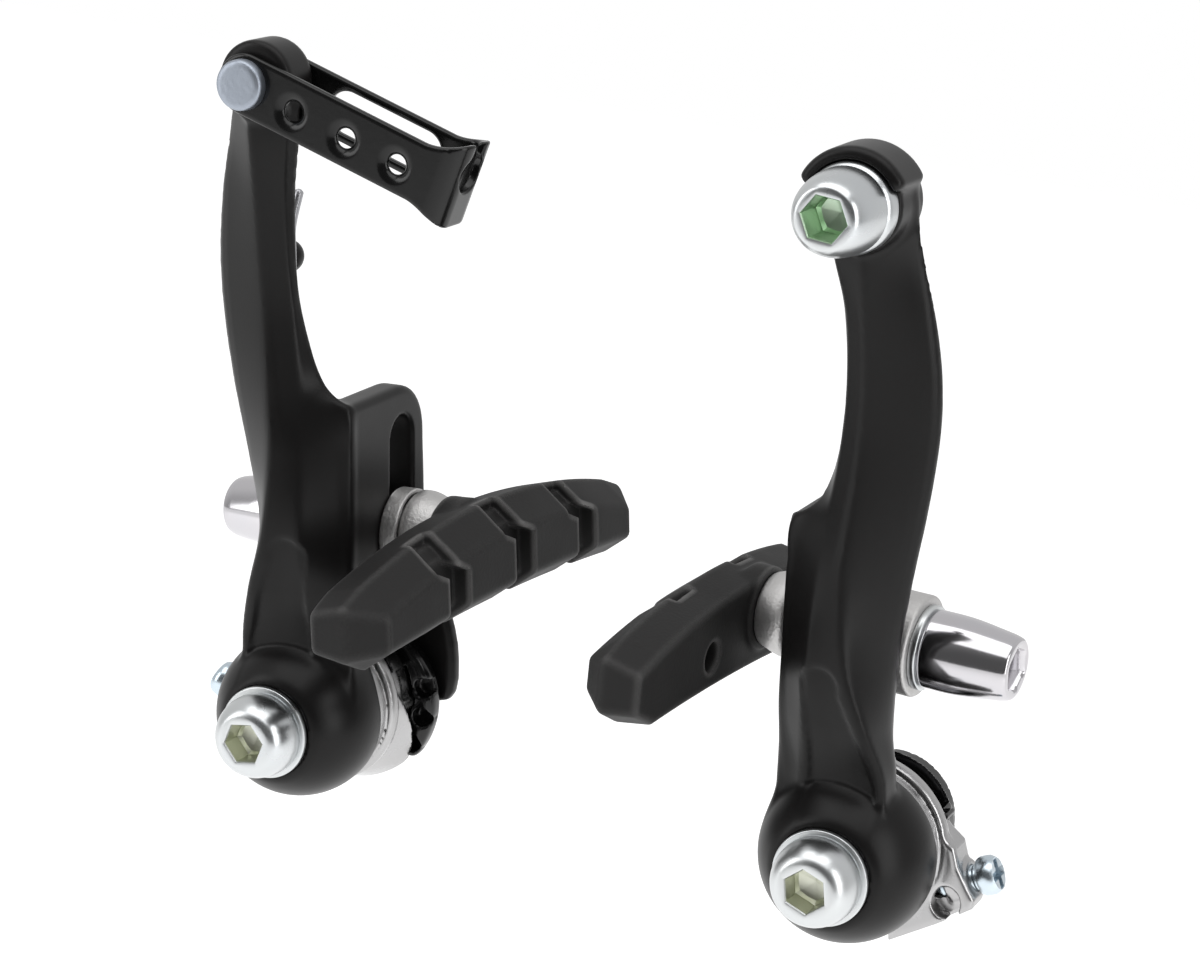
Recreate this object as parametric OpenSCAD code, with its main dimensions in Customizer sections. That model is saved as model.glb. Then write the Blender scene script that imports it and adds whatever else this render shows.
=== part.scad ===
// V-brake: a pair of linear pull brake arms with pads, springs and cable link.
// Origin midway between the two frame bosses, +X to the right arm, +Y to the frame, +Z up.

/* [Frame] */
// Distance between the two frame boss axes
boss_spacing = 80; // [74:1:90]
// Outboard lean of the left arm at rest, in degrees
left_swing = 4.7; // [0:0.1:8]
// Outboard lean of the right arm at rest, in degrees
right_swing = -3.3; // [-4:0.1:8]

/* [Arm] */
// Height of the cable pin above the pivot
arm_reach = 87.3; // [84:0.5:96]
// Diameter of the ball shaped hub
hub_d = 23; // [22:0.5:25]
// Distance of the hub's front face ahead of the bush middle
hub_front = 14; // [13:0.1:14]
// Distance of the hub's rear face ahead of the bush middle
hub_rear = 2; // [1.8:0.1:4]
// Height of the slotted block's top above the pivot
block_top = 44.4; // [42:0.2:48]
// Thickness of the slotted block
block_wall = 4.5; // [4:0.1:5]
// Distance of the block's inboard face from the pivot
block_inboard = 9.5; // [9:0.1:10]
// Distance of the block's rear edge behind the bush middle
block_rear = 14; // [13:0.1:14]
// Length of the pad slot
slot_length = 24.4; // [22:0.2:25]
// Clearance of the slot round the pad stud
slot_clearance = 0.4; // [0.3:0.05:0.6]
// Diameter of the spring peg behind the arm
peg_d = 4.6; // [4:0.1:5]
// Height of the spring peg above the pivot
peg_height = 62.2; // [58:0.2:66]

/* [Pivot hardware] */
// Outer diameter of the pivot bush
bush_od = 12; // [11.5:0.1:12.4]
// Bore of the pivot bush, for an 8 mm boss
bush_bore = 8.2; // [8.1:0.05:8.4]
// Length of the pivot bush
bush_length = 28.4; // [28.4:0.1:30]
// Running clearance of the hub on the bush, on the radius
bush_fit = 0.05; // [0.02:0.01:0.1]
// Diameter of the pivot washer
washer_d = 12.7; // [12:0.1:13.2]
// Thickness of the pivot washer
washer_t = 0.9; // [0.8:0.1:1.2]
// Thread diameter of the pivot bolt
bolt_d = 5.85; // [5.8:0.05:6]
// Length of the pivot bolt's thread
bolt_length = 18; // [16:0.5:20]
// Diameter of the pivot bolt's head
bolt_head_d = 11.4; // [10.5:0.1:12]
// Height of the pivot bolt's head
bolt_head_h = 5.2; // [3.5:0.1:6]
// Hexagon key size of the pivot and clamp bolts
key_size = 5; // [4:0.1:5.5]

/* [Spring] */
// Wire diameter of the return spring
wire_d = 1.8; // [1.6:0.1:2]
// Mean diameter of the spring coil
coil_d = 15.2; // [15:0.1:15.6]
// Turns of the spring coil
coil_turns = 2; // [1.5:0.5:2]
// Height of the spring leg's tip above the pivot
spring_tip = 72; // [70:0.5:76]
// Outer diameter of the spring housing
housing_d = 20.8; // [20.4:0.1:21.2]
// Wall of the spring housing
housing_wall = 1; // [0.8:0.1:1.2]
// Diameter of the housing's front flange
flange_d = 22.8; // [22.4:0.1:23.4]
// Wall of the spring cap
cap_wall = 0.7; // [0.6:0.05:0.9]
// Radius of the spring cap's lobe
lobe_r = 14; // [13:0.1:14.4]
// Diameter of the tension screw's thread
screw_d = 3.4; // [3:0.1:3.6]
// Diameter of the tension screw's head
screw_head_d = 5.2; // [4.8:0.1:5.6]
// Diameter of the pin that enters the frame boss
boss_pin_d = 2.2; // [2:0.1:2.6]

/* [Pads] */
// Length of a brake pad
pad_length = 70; // [66:1:76]
// Height of a brake pad
pad_height = 13.9; // [12.6:0.1:14.6]
// Thickness of a brake pad over its boss
pad_depth = 10.4; // [9.6:0.1:11]
// Distance of a pad's middle below its stud
pad_drop = 1.45; // [0.5:0.05:2.5]
// Radius that a pad's upper edge is arched to
pad_arch = 112; // [105:1:300]
// Radius that a pad's lower edge is arched to
pad_belly = 355; // [300:5:400]
// Height of the round boss on a pad's back
pad_boss_h = 0.6; // [0.4:0.1:2]
// Depth of the grooves between the blocks
groove_depth = 2; // [1:0.1:2.4]
// Width of the grooves between the blocks
groove_w = 4; // [2.5:0.1:5]
// Turn of the left pad about the vertical at rest, in degrees
left_pad_yaw = 6; // [0:0.1:6.5]
// Turn of the right pad about the vertical at rest, in degrees
right_pad_yaw = 4.4; // [0:0.1:6.5]
// Turn of the left pad about its stud at rest, in degrees, front end down
left_pad_pitch = -0.3; // [-8:0.1:8]
// Turn of the right pad about its stud at rest, in degrees, front end down
right_pad_pitch = 1.4; // [-8:0.1:8]
// Droop of the left pad's stud towards its nut at rest, in degrees
left_stud_droop = 1.7; // [0:0.1:3]
// Droop of the right pad's stud towards its nut at rest, in degrees
right_stud_droop = 2.8; // [0:0.1:3]
// Height of the left pad's stud above the pivot
left_stud_height = 24.4; // [24:0.1:30]
// Height of the right pad's stud above the pivot
right_stud_height = 26.2; // [24:0.1:30]
// Diameter of the pad stud's thread
stud_d = 5.8; // [5.6:0.05:6]
// Diameter of the inner washers
inner_washer_d = 11.6; // [11.4:0.1:12]
// Diameter of the outer washers
outer_washer_d = 13.4; // [12.6:0.1:13.6]
// Radius of the ball washers' seats
seat_r = 7.5; // [7.4:0.05:7.8]
// Gap between a ball washer and its cup
seat_gap = 0.3; // [0.25:0.05:0.4]
// Diameter of the pad nut's foot
nut_d = 10.4; // [10:0.1:11]
// Length of the pad nut
nut_length = 11.8; // [11:0.1:14]

/* [Cable link] */
// Length of the link from its rivet to the outside of its end wall
link_length = 31.5; // [28:0.5:36]
// Downward slope of the link at rest, in degrees
link_slope = 15.8; // [5:0.2:18]
// Sheet thickness of the link
link_sheet = 1.2; // [1:0.1:1.4]
// Height of the link's side plates
link_height = 7.8; // [7:0.1:9]
// Diameter of the round seat in the end wall
seat_bore_d = 5.2; // [5:0.1:5.4]
// Width of the seat's slot
seat_slot_w = 2.6; // [2:0.1:3]
// Diameter of the rivet's head
rivet_head_d = 6.6; // [6:0.1:7.2]
// Diameter of the rivet's shank
rivet_d = 4; // [3.8:0.1:4.4]

/* [Cable clamp] */
// Diameter of the clamp washer
clamp_washer_d = 11.2; // [10.6:0.1:11.4]
// Thickness of the clamp washer
clamp_washer_t = 3; // [2:0.1:3.4]
// Diameter of the clamp bolt's head
clamp_head_d = 10.6; // [9.6:0.1:10.8]
// Height of the clamp bolt's head
clamp_head_h = 7.4; // [6:0.1:8]

/* [Hidden] */
$fn = 72;

paint = [0.07, 0.07, 0.075];
rubber = [0.1, 0.1, 0.1];
plastic = [0.04, 0.04, 0.045];
zinc = [0.75, 0.76, 0.78];
steel = [0.6, 0.61, 0.63];

hub_r = hub_d / 2;
hub_centre_y = hub_rear * 0.5 - 5.6;
bore_r = bush_od / 2 + bush_fit;
bush_front = bush_length / 2;
cap_inner_r = housing_d / 2 + 0.3;
cap_r = cap_inner_r + cap_wall;
cap_rear = bush_front - 0.3;
flange_front = 1.6;
flange_rear = 2.6;
housing_rear = 9.4;
lobe_front = 7.6;
cap_step = 6;
coil_room = coil_d / 2 + wire_d / 2 + 0.5;
cap_rear_r = 8.3;
lobe_rear = 11;
guard_front = lobe_rear + 0.4;
guard_low = 187;
stud_y = 6.6;
slot_w = stud_d + 2 * slot_clearance;
slot_bottom = 16;
block_mid = block_inboard - block_wall / 2;
drawn_block_top = 44.4;
drawn_reach = 87.3;
pin_x = 0.4;
peg_x = 5.3;
head_r = 5.2;
head_front = 17.3;
left_head_rear = 10.7;
right_head_rear = 9;
clamp_x = pin_x - 0.5;
clamp_z = arm_reach - 1.9;
clamp_face = 17.6;
lug_z = -3.4;
lug_out = 1.5;
boss_pin = [-9.9, 0, 0.3];
screw_lean = 25;
inner_cup_t = 2.5;
outer_cup_t = 4.6;
inner_stack = 7.6;
outer_stack = 10;
flat_washer_t = 1;
seat_rim = 0.5;
cup_hole_r = 4.3;
washer_hole_r = stud_d / 2 + 0.1;
pad_back = block_wall / 2 + inner_stack;
nut_seat = block_wall / 2 + outer_stack + flat_washer_t;
stud_sunk = 5.5;
pad_boss_r = 5.5;
pad_ridge = 6;
pad_corner = 4.5;
pad_ahead = 0.8;
groove_bend = 1.2;
stud_end = nut_seat + nut_length - 5;
groove_pitch = pad_length * 0.235;
groove_step = 2.5;
link_front = 18.5;
link_width = 9.4;
// Place of the link's rivet, carried out by the left arm's lean
link_pin = [-boss_spacing / 2 - pin_x * cos(left_swing) - arm_reach * sin(left_swing), 0,
    arm_reach * cos(left_swing) - pin_x * sin(left_swing)];

// Height on this arm of a point drawn at the nominal size
function raised(z) = z <= drawn_block_top ? z * block_top / drawn_block_top
    : block_top + (z - drawn_block_top) * (arm_reach - block_top) / (drawn_reach - drawn_block_top);

// Edge lines of the forging as [height, x, y]: the corners of its section, front first
outer_edge = [[4, 6.5, -6.5], [12, 6.4, -6], [18, 5.2, -5.8], [27, 5.4, -6.2], [36, 7, -7.2],
    [46, 8.9, -8.2], [56, 10.1, -9], [64, 10.1, -9.8], [72, 9, -10.6], [80, 7.2, -11], [88, 5.4, -12.5]];
rib_edge = [[4, 6, -10], [12, 6, -10.5], [19, 3.9, -12.7], [27, 1.2, -13.7], [38, -0.1, -13.5],
    [46, 0.5, -12.9], [56, 1.2, -12.6], [64, 1.4, -13.3], [72, 1.2, -14.7], [80, 1, -16.3], [88, 0.8, -17.2]];
panel_edge = [[4, 0, -9], [12, 0, -9.8], [19, -1, -11.9], [27, -2, -13.3], [38, -2, -12.8],
    [46, -0.8, -12.5], [56, 0.3, -12.4], [64, 0.6, -13.1], [72, 0.4, -14.5], [80, 0.2, -16.2], [88, 0, -17.2]];
inner_edge = [[4, -5.5, -9], [12, -5.4, -9.4], [19, -4.8, -11.6], [27, -4.4, -13.2], [38, -4, -12],
    [46, -3.4, -10.6], [56, -2.4, -10.4], [64, -1.9, -11.4], [72, -2.2, -12.8], [80, -3.6, -15], [88, -4.6, -16]];
web_edge = [[4, -6.5, -7], [12, -8, -7.6], [19, -9.2, -7.9], [27, -9.3, -7.9], [38, -9.3, -7.9],
    [43.5, -9, -7.9], [47, -5.6, -7.9], [52, -3.6, -8.2], [60, -2.4, -9.4], [72, -2.9, -11], [80, -4.4, -12.6],
    [88, -4.9, -13.5]];
rear_inner = [[4, -5, -3], [12, -5.4, -3.2], [40, -5.4, -4], [50, 0, -3.6], [60, 1.8, -3.6], [70, 1.2, -5.4],
    [78, -1.6, -10.9], [88, -3.4, -10.9]];
rear_outer = [[4, 5.5, -3], [12, 4.6, -3.4], [40, 5.4, -3.6], [50, 6.6, -3.6], [60, 7.4, -3.8], [70, 6.4, -5.6],
    [78, 5, -10.9], [88, 4.2, -10.9]];
CORNERS = [rear_outer, rear_inner, web_edge, inner_edge, panel_edge, rib_edge, outer_edge];
loft_low = 5;
loft_high = 87;
stations = 30;

// Smooth curve through an edge line at height z, on the cubic through the keys
function key_index(keys, z, i = 0) = i >= len(keys) - 2 || z < keys[i + 1][0] ? i
    : key_index(keys, z, i + 1);
function slope_at(keys, i) = let (a = keys[max(i - 1, 0)], b = keys[min(i + 1, len(keys) - 1)])
    [b[1] - a[1], b[2] - a[2]] / (b[0] - a[0]);
function edge_at(keys, z) = let (i = key_index(keys, z), a = keys[i], b = keys[i + 1],
    h = b[0] - a[0], t = (z - a[0]) / h, s = t * t * (3 - 2 * t),
    u = t * (1 - t) * (1 - t) * h, v = t * t * (t - 1) * h)
    [a[1], a[2]] * (1 - s) + [b[1], b[2]] * s + slope_at(keys, i) * u + slope_at(keys, i + 1) * v;

// Closed outline through corner points, each corner softened by a short curve
function softened(p, share, n) = [for (i = [0:len(p) - 1])
    let (c = p[i], a = p[(i + len(p) - 1) % len(p)], b = p[(i + 1) % len(p)],
        from = c + (a - c) * share[i], to = c + (b - c) * share[i])
    for (k = [0:n]) let (t = k / n) from * (1 - t) * (1 - t) + c * 2 * t * (1 - t) + to * t * t];

function unit(v) = v / norm(v);

function arc(c, r, from, to, n) = [for (i = [0:n]) let (a = from + (to - from) * i / n)
    c + r * [cos(a), sin(a)]];

// Solid skinned over rings of equal point count, each ring a list of 3D points
module skin(rings) {
    n = len(rings[0]);
    last = len(rings) - 1;
    polyhedron(
        points = [for (ring = rings) each ring],
        faces = concat(
            [[for (j = [0:n - 1]) j]],
            [[for (j = [n - 1:-1:0]) last * n + j]],
            [for (i = [0:last - 1]) for (j = [0:n - 1]) let (k = (j + 1) % n)
                each [[i * n + j, (i + 1) * n + j, (i + 1) * n + k], [i * n + j, (i + 1) * n + k, i * n + k]]]));
}

module along_y(from, to, r) translate([0, from, 0]) rotate([-90, 0, 0]) cylinder(h = to - from, r = r);

module turned_y() rotate([-90, 0, 0]) rotate_extrude() children();

module turned_x() rotate([0, 90, 0]) rotate_extrude() children();

// Plate drawn in x and z, from y = from to y = to
module plate_y(from, to) translate([0, to, 0]) rotate([90, 0, 0]) linear_extrude(to - from) children();

// Plate drawn in y and z, from x = from to x = to
module plate_x(from, to) translate([from, 0, 0]) rotate([90, 0, 90]) linear_extrude(to - from) children();

module sided(left) {
    if (left) mirror([1, 0, 0]) children();
    else children();
}

module on_boss(left) sided(left) translate([boss_spacing / 2, 0, 0]) children();

module on_arm(left) on_boss(left) rotate([0, left ? left_swing : right_swing, 0]) children();

// Frame of a pad's stud: x along the stud, origin in the middle of the slotted block
module on_stud(left) on_arm(left)
    translate([-block_mid, stud_y, left ? left_stud_height : right_stud_height])
    rotate([left ? -left_pad_pitch : -right_pad_pitch, left ? left_stud_droop : right_stud_droop,
        left ? left_pad_yaw : -right_pad_yaw]) children();

module slot_outline(w, length) {
    for (end = [0, 1]) translate([0, end * (length - w)]) circle(d = w);
    translate([-w / 2, 0]) square([w, length - w]);
}

module beam() {
    share = [0.3, 0.3, 0.25, 0.3, 0.35, 0.35, 0.3];
    skin([for (i = [0:stations]) let (z = loft_low + (loft_high - loft_low) * i / stations)
        [for (p = softened([for (edge = CORNERS) edge_at(edge, z)], share, 2))
            [p[0], p[1], raised(z)]]]);
}

module slotted_block() {
    corner = 7;
    plate_x(-block_inboard, -block_inboard + block_wall) polygon(concat(
        [[-7.6, slot_bottom - 3], [-7.6, block_top]],
        arc([block_rear - corner - 0.6, block_top - corner], corner, 90, 5, 8),
        [[block_rear, block_top - corner - 9], [block_rear, slot_bottom - 3]]));
}

// Foot of the block, bent round the inboard side of the spring cap
module guard() {
    outer_r = lobe_r + 2;
    plate_y(guard_front, block_rear - 0.2) polygon(concat(
        arc([0, 0], outer_r, guard_low, 150, 6), [[-block_inboard, slot_bottom + 1]],
        [[-block_inboard + block_wall, slot_bottom + 1]], arc([0, 0], cap_r + 0.4, 112, guard_low, 10)));
}

module peg() {
    translate([peg_x, 0, raised(peg_height)]) {
        along_y(-5, -0.8, peg_d / 2);
        translate([0, -0.8, 0]) sphere(d = peg_d);
    }
}

module arm(left) color(paint) on_arm(left) difference() {
    union() {
        beam();
        intersection() {
            translate([0, hub_centre_y, 0]) sphere(r = hub_r);
            along_y(-hub_front, -hub_rear, hub_r + 1);
        }
        slotted_block();
        guard();
        peg();
        if (left) translate([pin_x - 0.7, 0, arm_reach + 0.3]) along_y(-head_front, -left_head_rear, head_r);
        else clamp_head();
    }
    along_y(-hub_front - 5, block_rear + 5, bore_r);
    plate_x(-block_inboard - 1, -block_inboard + block_wall + 20) translate([stud_y, slot_bottom + slot_w / 2])
        slot_outline(slot_w, slot_length);
    if (left) translate([pin_x, 0, arm_reach]) along_y(-head_front - 1, -8, rivet_d / 2 + 0.05);
    else translate([clamp_x, 0, clamp_z]) along_y(-head_front - 3, -8, bolt_d / 2 + 0.05);
}

// Head of the right arm with the lip that keeps the clamp washer from turning
module clamp_head() translate([clamp_x, 0, clamp_z]) {
    lip_inner = clamp_washer_d / 2 + 0.15;
    lip_outer = lip_inner + 1.6;
    along_y(-clamp_face, -right_head_rear, head_r + 0.6);
    difference() {
        plate_y(-clamp_face - 2, -right_head_rear - 2) polygon(concat(
            arc([0, 0], lip_outer, 35, 150, 14), [[-2, 0], [2, 0]]));
        along_y(-clamp_face - 3, -clamp_face, lip_inner);
    }
}

module pivot_bush(left) color(steel) on_boss(left) difference() {
    along_y(-bush_front, bush_front, bush_od / 2);
    along_y(-bush_front - 1, bush_front + 1, bush_bore / 2);
}

module pivot_washer(left) color(zinc) on_boss(left) difference() {
    along_y(-bush_front - washer_t, -bush_front, washer_d / 2);
    along_y(-bush_front - washer_t - 1, -bush_front + 1, bolt_d / 2 + 0.2);
}

// Button head screw with its seat at y = 0, a waist through its washer and its thread towards +y
module button_screw(thread_d, length, head_d, head_h, key, waist) difference() {
    rim = 0.8;
    top_r = key * 0.68;
    union() {
        turned_y() polygon(concat([[0, -head_h], [0, 0], [head_d / 2, 0], [head_d / 2, -rim]],
            [for (i = [1:10]) let (a = i * 9)
                [top_r + (head_d / 2 - top_r) * cos(a), -rim - (head_h - rim) * sin(a)]]));
        along_y(-0.5, waist + 0.5, thread_d / 2 - 0.4);
        along_y(waist, length, thread_d / 2);
    }
    translate([0, -head_h - 0.1, 0]) rotate([-90, 0, 0]) cylinder(h = head_h * 0.7, d = key / cos(30), $fn = 6);
}

module pivot_bolt(left) color(zinc) on_boss(left) translate([0, -bush_front - washer_t, 0])
    button_screw(bolt_d, bolt_length, bolt_head_d, bolt_head_h, key_size, washer_t + 0.3);

// Direction of the tension screw, from its tip to its head
module on_screw() {
    translate([flange_d / 2 + lug_out, (flange_rear + 5) / 2, lug_z]) rotate([0, -screw_lean, 0]) children();
}

module spring_plate(left) color(zinc) on_boss(left) {
    lug_far = flange_d / 2 + lug_out + 1.1;
    difference() {
        union() {
            turned_y() polygon([[bore_r, -flange_front], [housing_d / 2, -flange_front],
                [housing_d / 2, 0.8], [flange_d / 2 - 0.3, 0.8], [flange_d / 2, 1.2],
                [flange_d / 2, flange_rear - 0.4], [flange_d / 2 - 0.3, flange_rear],
                [housing_d / 2, flange_rear], [housing_d / 2, cap_step - cap_wall - 0.3],
                [housing_d / 2 - housing_wall, cap_step - cap_wall - 0.3],
                [housing_d / 2 - housing_wall, 2.2], [bore_r, 2.2]]);
            below_left(flange_rear, housing_rear) difference() {
                circle(d = housing_d);
                circle(d = housing_d - 2 * housing_wall);
            }
            difference() {
                plate_y(0.4, flange_rear + 3) polygon([[flange_d / 2 - 1.4, 3.4], [flange_d / 2 + 0.6, 1.6],
                    [lug_far + 1.4, lug_z - 1.8], [lug_far - 1.6, lug_z - 4.8], [5.5, -flange_d / 2 - 1.4],
                    [4.5, -flange_d / 2 + 2.4]]);
                along_y(cap_step - cap_wall - 0.4, cap_step + 1, cap_inner_r - 0.1);
            }
            translate(boss_pin) along_y(flange_rear - 0.5, cap_rear + 3, boss_pin_d / 2);
        }
        plate_y(-1, flange_rear + 1.8) polygon([[flange_d / 2 - 0.2, 0.4], [lug_far - 0.4, lug_z - 2.2],
            [lug_far - 2, lug_z - 4.2], [8.6, -flange_d / 2 + 2.4], [flange_d / 2 - 0.8, lug_z - 1]]);
        along_y(2.3, housing_rear + 1, housing_d / 2 - housing_wall);
        on_screw() translate([-6, 0, 0]) rotate([0, 90, 0]) cylinder(h = 14, r = screw_d / 2 + 0.05);
        leg_window(flange_rear, housing_rear + 1);
    }
}

// Stretch from y = from to y = to of an outline, on the side below and inboard of the pivot
module below_left(from, to) plate_y(from, to) intersection() {
    children();
    polygon(concat([[0, 0]], arc([0, 0], 20, 150, 290, 8)));
}

// Gap at the top of the housing where the spring leg leaves and swings
module leg_window(from, to) plate_y(from, to) polygon(concat([[0, 0]], arc([0, 0], 20, 28, 104, 6)));

module spring_cap(left) color(plastic) on_boss(left) difference() {
    union() {
        turned_y() polygon([[bore_r, flange_rear + 0.4], [cap_r, flange_rear + 0.4], [cap_r, cap_step],
            [coil_room + cap_wall, cap_step + 0.8], [coil_room + cap_wall, housing_rear],
            [cap_rear_r, housing_rear + 2.4], [cap_rear_r, cap_rear], [bore_r, cap_rear]]);
        intersection() {
            translate([-2.4, 0, -1.8]) along_y(lobe_front, lobe_rear, 12.2);
            along_y(lobe_front, lobe_rear, lobe_r);
        }
    }
    along_y(flange_rear, cap_step - cap_wall, cap_inner_r);
    along_y(flange_rear, housing_rear, coil_room);
    below_left(flange_rear, housing_rear + 0.3) circle(r = cap_inner_r);
    below_left(flange_rear, lobe_front) circle(r = lobe_r + 1);
    along_y(0, cap_rear + 1, bore_r + 0.05);
    leg_window(flange_rear - 1, housing_rear + 0.4);
    translate(boss_pin) along_y(0, cap_rear + 1, boss_pin_d / 2 + 0.1);
    plate_y(flange_rear - 1, lobe_front - 0.3) polygon(concat(arc([0, 0], 20, -78, 24, 6),
        arc([0, 0], cap_inner_r - 0.4, 24, -78, 8)));
    for (a = [168, 188, 208]) translate([cos(a) * (lobe_r - 1.65), 0, sin(a) * (lobe_r - 1.65)])
        along_y(lobe_front - 1, lobe_front + 1.6, 1.3);
}

// Return spring: coil about the pivot, then the leg up behind the arm to the peg
module return_spring(left) color(steel) on_arm(left) {
    r = wire_d / 2;
    sides = 8;
    coil_r = coil_d / 2;
    coil_start = 2.5 + r;
    rise = wire_d + 0.25;
    coil_end = 36;
    coil = [for (i = [0:coil_turns * 20]) let (a = coil_end - coil_turns * 360 + i * 18)
        [coil_r * cos(a), coil_start + rise * (coil_end - a) / 360, coil_r * sin(a)]];
    leg_x = peg_x - peg_d / 2 - r - 0.05;
    leg = [[4.7, coil_start + 0.2, 7], [3.3, coil_start + 0.3, 10.4], [2.7, coil_start + 0.1, 13], [2.3, 1.7, 15.6],
        [2.1, -0.7, 18], [2.1, -2, 21], [leg_x + 0.1, -2.3, 34], [leg_x, -2.3, 48],
        [leg_x, -2.2, raised(peg_height) + 2], [leg_x + 0.5, -1.2, raised(spring_tip)]];
    route = concat(coil, leg);
    last = len(route) - 1;
    skin([for (i = [0:last]) let (
        t = unit(route[min(i + 1, last)] - route[max(i - 1, 0)]),
        side = unit(cross(t, abs(t[1]) > 0.8 ? [1, 0, 0] : [0, 1, 0])), up = cross(side, t))
        [for (k = [0:sides - 1]) let (a = k * 360 / sides) route[i] + r * (side * cos(a) + up * sin(a))]]);
}

module tension_screw(left) color(zinc) on_boss(left) on_screw() difference() {
    turned_x() polygon([[0, -3.2], [screw_d / 2 - 0.4, -3.2], [screw_d / 2, -2.8], [screw_d / 2, 3],
        [screw_head_d / 2 - 0.4, 3], [screw_head_d / 2, 3.4], [screw_head_d / 2, 4.6],
        [screw_head_d / 2 - 0.9, 5.6], [0, 6]]);
    for (turn = [0, 90]) rotate([turn, 0, 0]) translate([4.4, -1.5, -0.35]) cube([3, 3, 0.7]);
}

// Heights of a pad's upper and lower ridge at y, its corners cut off over the last pad_corner
function pad_top(y, end) = pad_height / 2 - pad_drop - y * y / (2 * pad_arch) - 0.5 * (1 - end);
function pad_foot(y, end) = -pad_height / 2 - pad_drop - y * y / (2 * pad_belly) + 2.6 * (1 - end);

// Section of a pad at y: back, upper ridge, face, lower ridge
function pad_ring(y, from, to) = let (end = min(1, min(y - from, to - y) / pad_corner),
    top = pad_top(y, end), foot = pad_foot(y, end), round = (1 - end) * (1 - end),
    back = -pad_back - pad_boss_h - 0.4 * round, ridge = -pad_back - pad_ridge,
    face = -pad_back - pad_depth + (pad_depth - pad_ridge - 0.5) * (1 - end))
    [[back, y, foot + 0.9], [back - 1, y, foot + 0.1], [ridge, y, foot], [ridge - 0.6, y, foot + 0.4],
        [face, y, foot + 2 * end + 1], [face, y, top - 2.6 * end - 1], [ridge - 0.6, y, top - 0.6],
        [ridge, y, top], [back - 1, y, top - 0.5], [back, y, top - 1.3]];

module along_x(from, to, r) translate([from, 0, 0]) rotate([0, 90, 0]) cylinder(h = to - from, r = r);

module pad(left) color(rubber) on_stud(left) {
    face = pad_back + pad_depth;
    from = pad_ahead - pad_length / 2;
    to = pad_ahead + pad_length / 2;
    inner = pad_length - 2 * pad_corner;
    ys = concat([from, from + pad_corner * 0.35],
        [for (i = [0:16]) from + pad_corner + inner * i / 16], [to - pad_corner * 0.35, to]);
    difference() {
        union() {
            skin([for (y = ys) pad_ring(y, from, to)]);
            along_x(-pad_back - pad_boss_h - 1, -pad_back, pad_boss_r);
        }
        for (y = [-groove_pitch, 0, groove_pitch]) translate([0, y + pad_ahead, groove_bend - y * y / (2 * pad_arch)])
            groove(face);
        along_x(-pad_back - stud_sunk, 0, stud_d / 2 + 0.03);
    }
}

// Groove between two blocks, its upper half set forward of its lower half
module groove(face) {
    half = groove_w / 2;
    plate_x(-face - 1, -face + groove_depth) polygon([[-half, pad_height], [-half, 0.6],
        [-half + groove_step, -0.6], [-half + groove_step, -pad_height], [half + groove_step, -pad_height],
        [half + groove_step, -0.6], [half, 0.6], [half, pad_height]]);
}

module pad_stud(left) color(steel) on_stud(left) along_x(-pad_back - stud_sunk, stud_end, stud_d / 2);

// Distance of the seat's centre from the block for a cup of this thickness and diameter
function seat_centre(thickness, d) = thickness + sqrt(pow(seat_r + seat_gap, 2) - pow(d / 2 - seat_rim, 2));

// Point of a seat of radius r about the centre c, at the distance x from the axis
function seat_point(x, c, r) = [x, c - sqrt(r * r - x * x)];

// Washer with a hollow seat: flat against the block, seat facing away from it
module cup_ring(thickness, d) rotate([0, 90, 0]) rotate_extrude() polygon(concat(
    [[cup_hole_r, 0], [d / 2, 0], [d / 2, thickness]],
    [for (i = [0:8]) seat_point(d / 2 - seat_rim + (cup_hole_r - d / 2 + seat_rim) * i / 8,
        seat_centre(thickness, d), seat_r + seat_gap)]));

// Washer with a domed seat in a cup of this thickness, its flat back at the distance back
module ball_ring(thickness, d, back, back_d) rotate([0, 90, 0]) rotate_extrude() polygon(concat(
    [[back_d / 2, back], [washer_hole_r, back]],
    [for (i = [0:10]) seat_point(washer_hole_r + (d / 2 - 0.2 - washer_hole_r) * i / 10,
        seat_centre(thickness, d), seat_r)],
    [[d / 2, seat_centre(thickness, d) - sqrt(seat_r * seat_r - pow(d / 2 - 0.2, 2)) + 0.3]]));

// A cup lies flat on the block, moved along it so that its seat meets the tilted stud's washer
module cup_washer(left, inner) color(steel) on_arm(left) {
    thickness = inner ? inner_cup_t : outer_cup_t;
    d = inner ? inner_washer_d : outer_washer_d;
    side = inner ? -1 : 1;
    reach = block_wall / 2 + seat_centre(thickness, d);
    height = left ? left_stud_height : right_stud_height;
    translate([-block_mid + side * block_wall / 2, stud_y + side * reach * sin(left ? left_pad_yaw : -right_pad_yaw),
        height - side * reach * sin(left ? left_stud_droop : right_stud_droop)]) mirror([inner ? 1 : 0, 0, 0]) cup_ring(thickness, d);
}

module ball_washer(left, inner) color(steel) on_stud(left) mirror([inner ? 1 : 0, 0, 0])
    translate([block_wall / 2, 0, 0])
    ball_ring(inner ? inner_cup_t : outer_cup_t, inner ? inner_washer_d : outer_washer_d,
        inner ? inner_stack : outer_stack, inner ? inner_washer_d - 2 : outer_washer_d);

module flat_washer(left) color(zinc) on_stud(left) translate([block_wall / 2 + outer_stack, 0, 0])
    difference() {
        along_x(0, flat_washer_t, nut_d / 2 + 0.4);
        along_x(-1, flat_washer_t + 1, washer_hole_r);
    }

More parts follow.
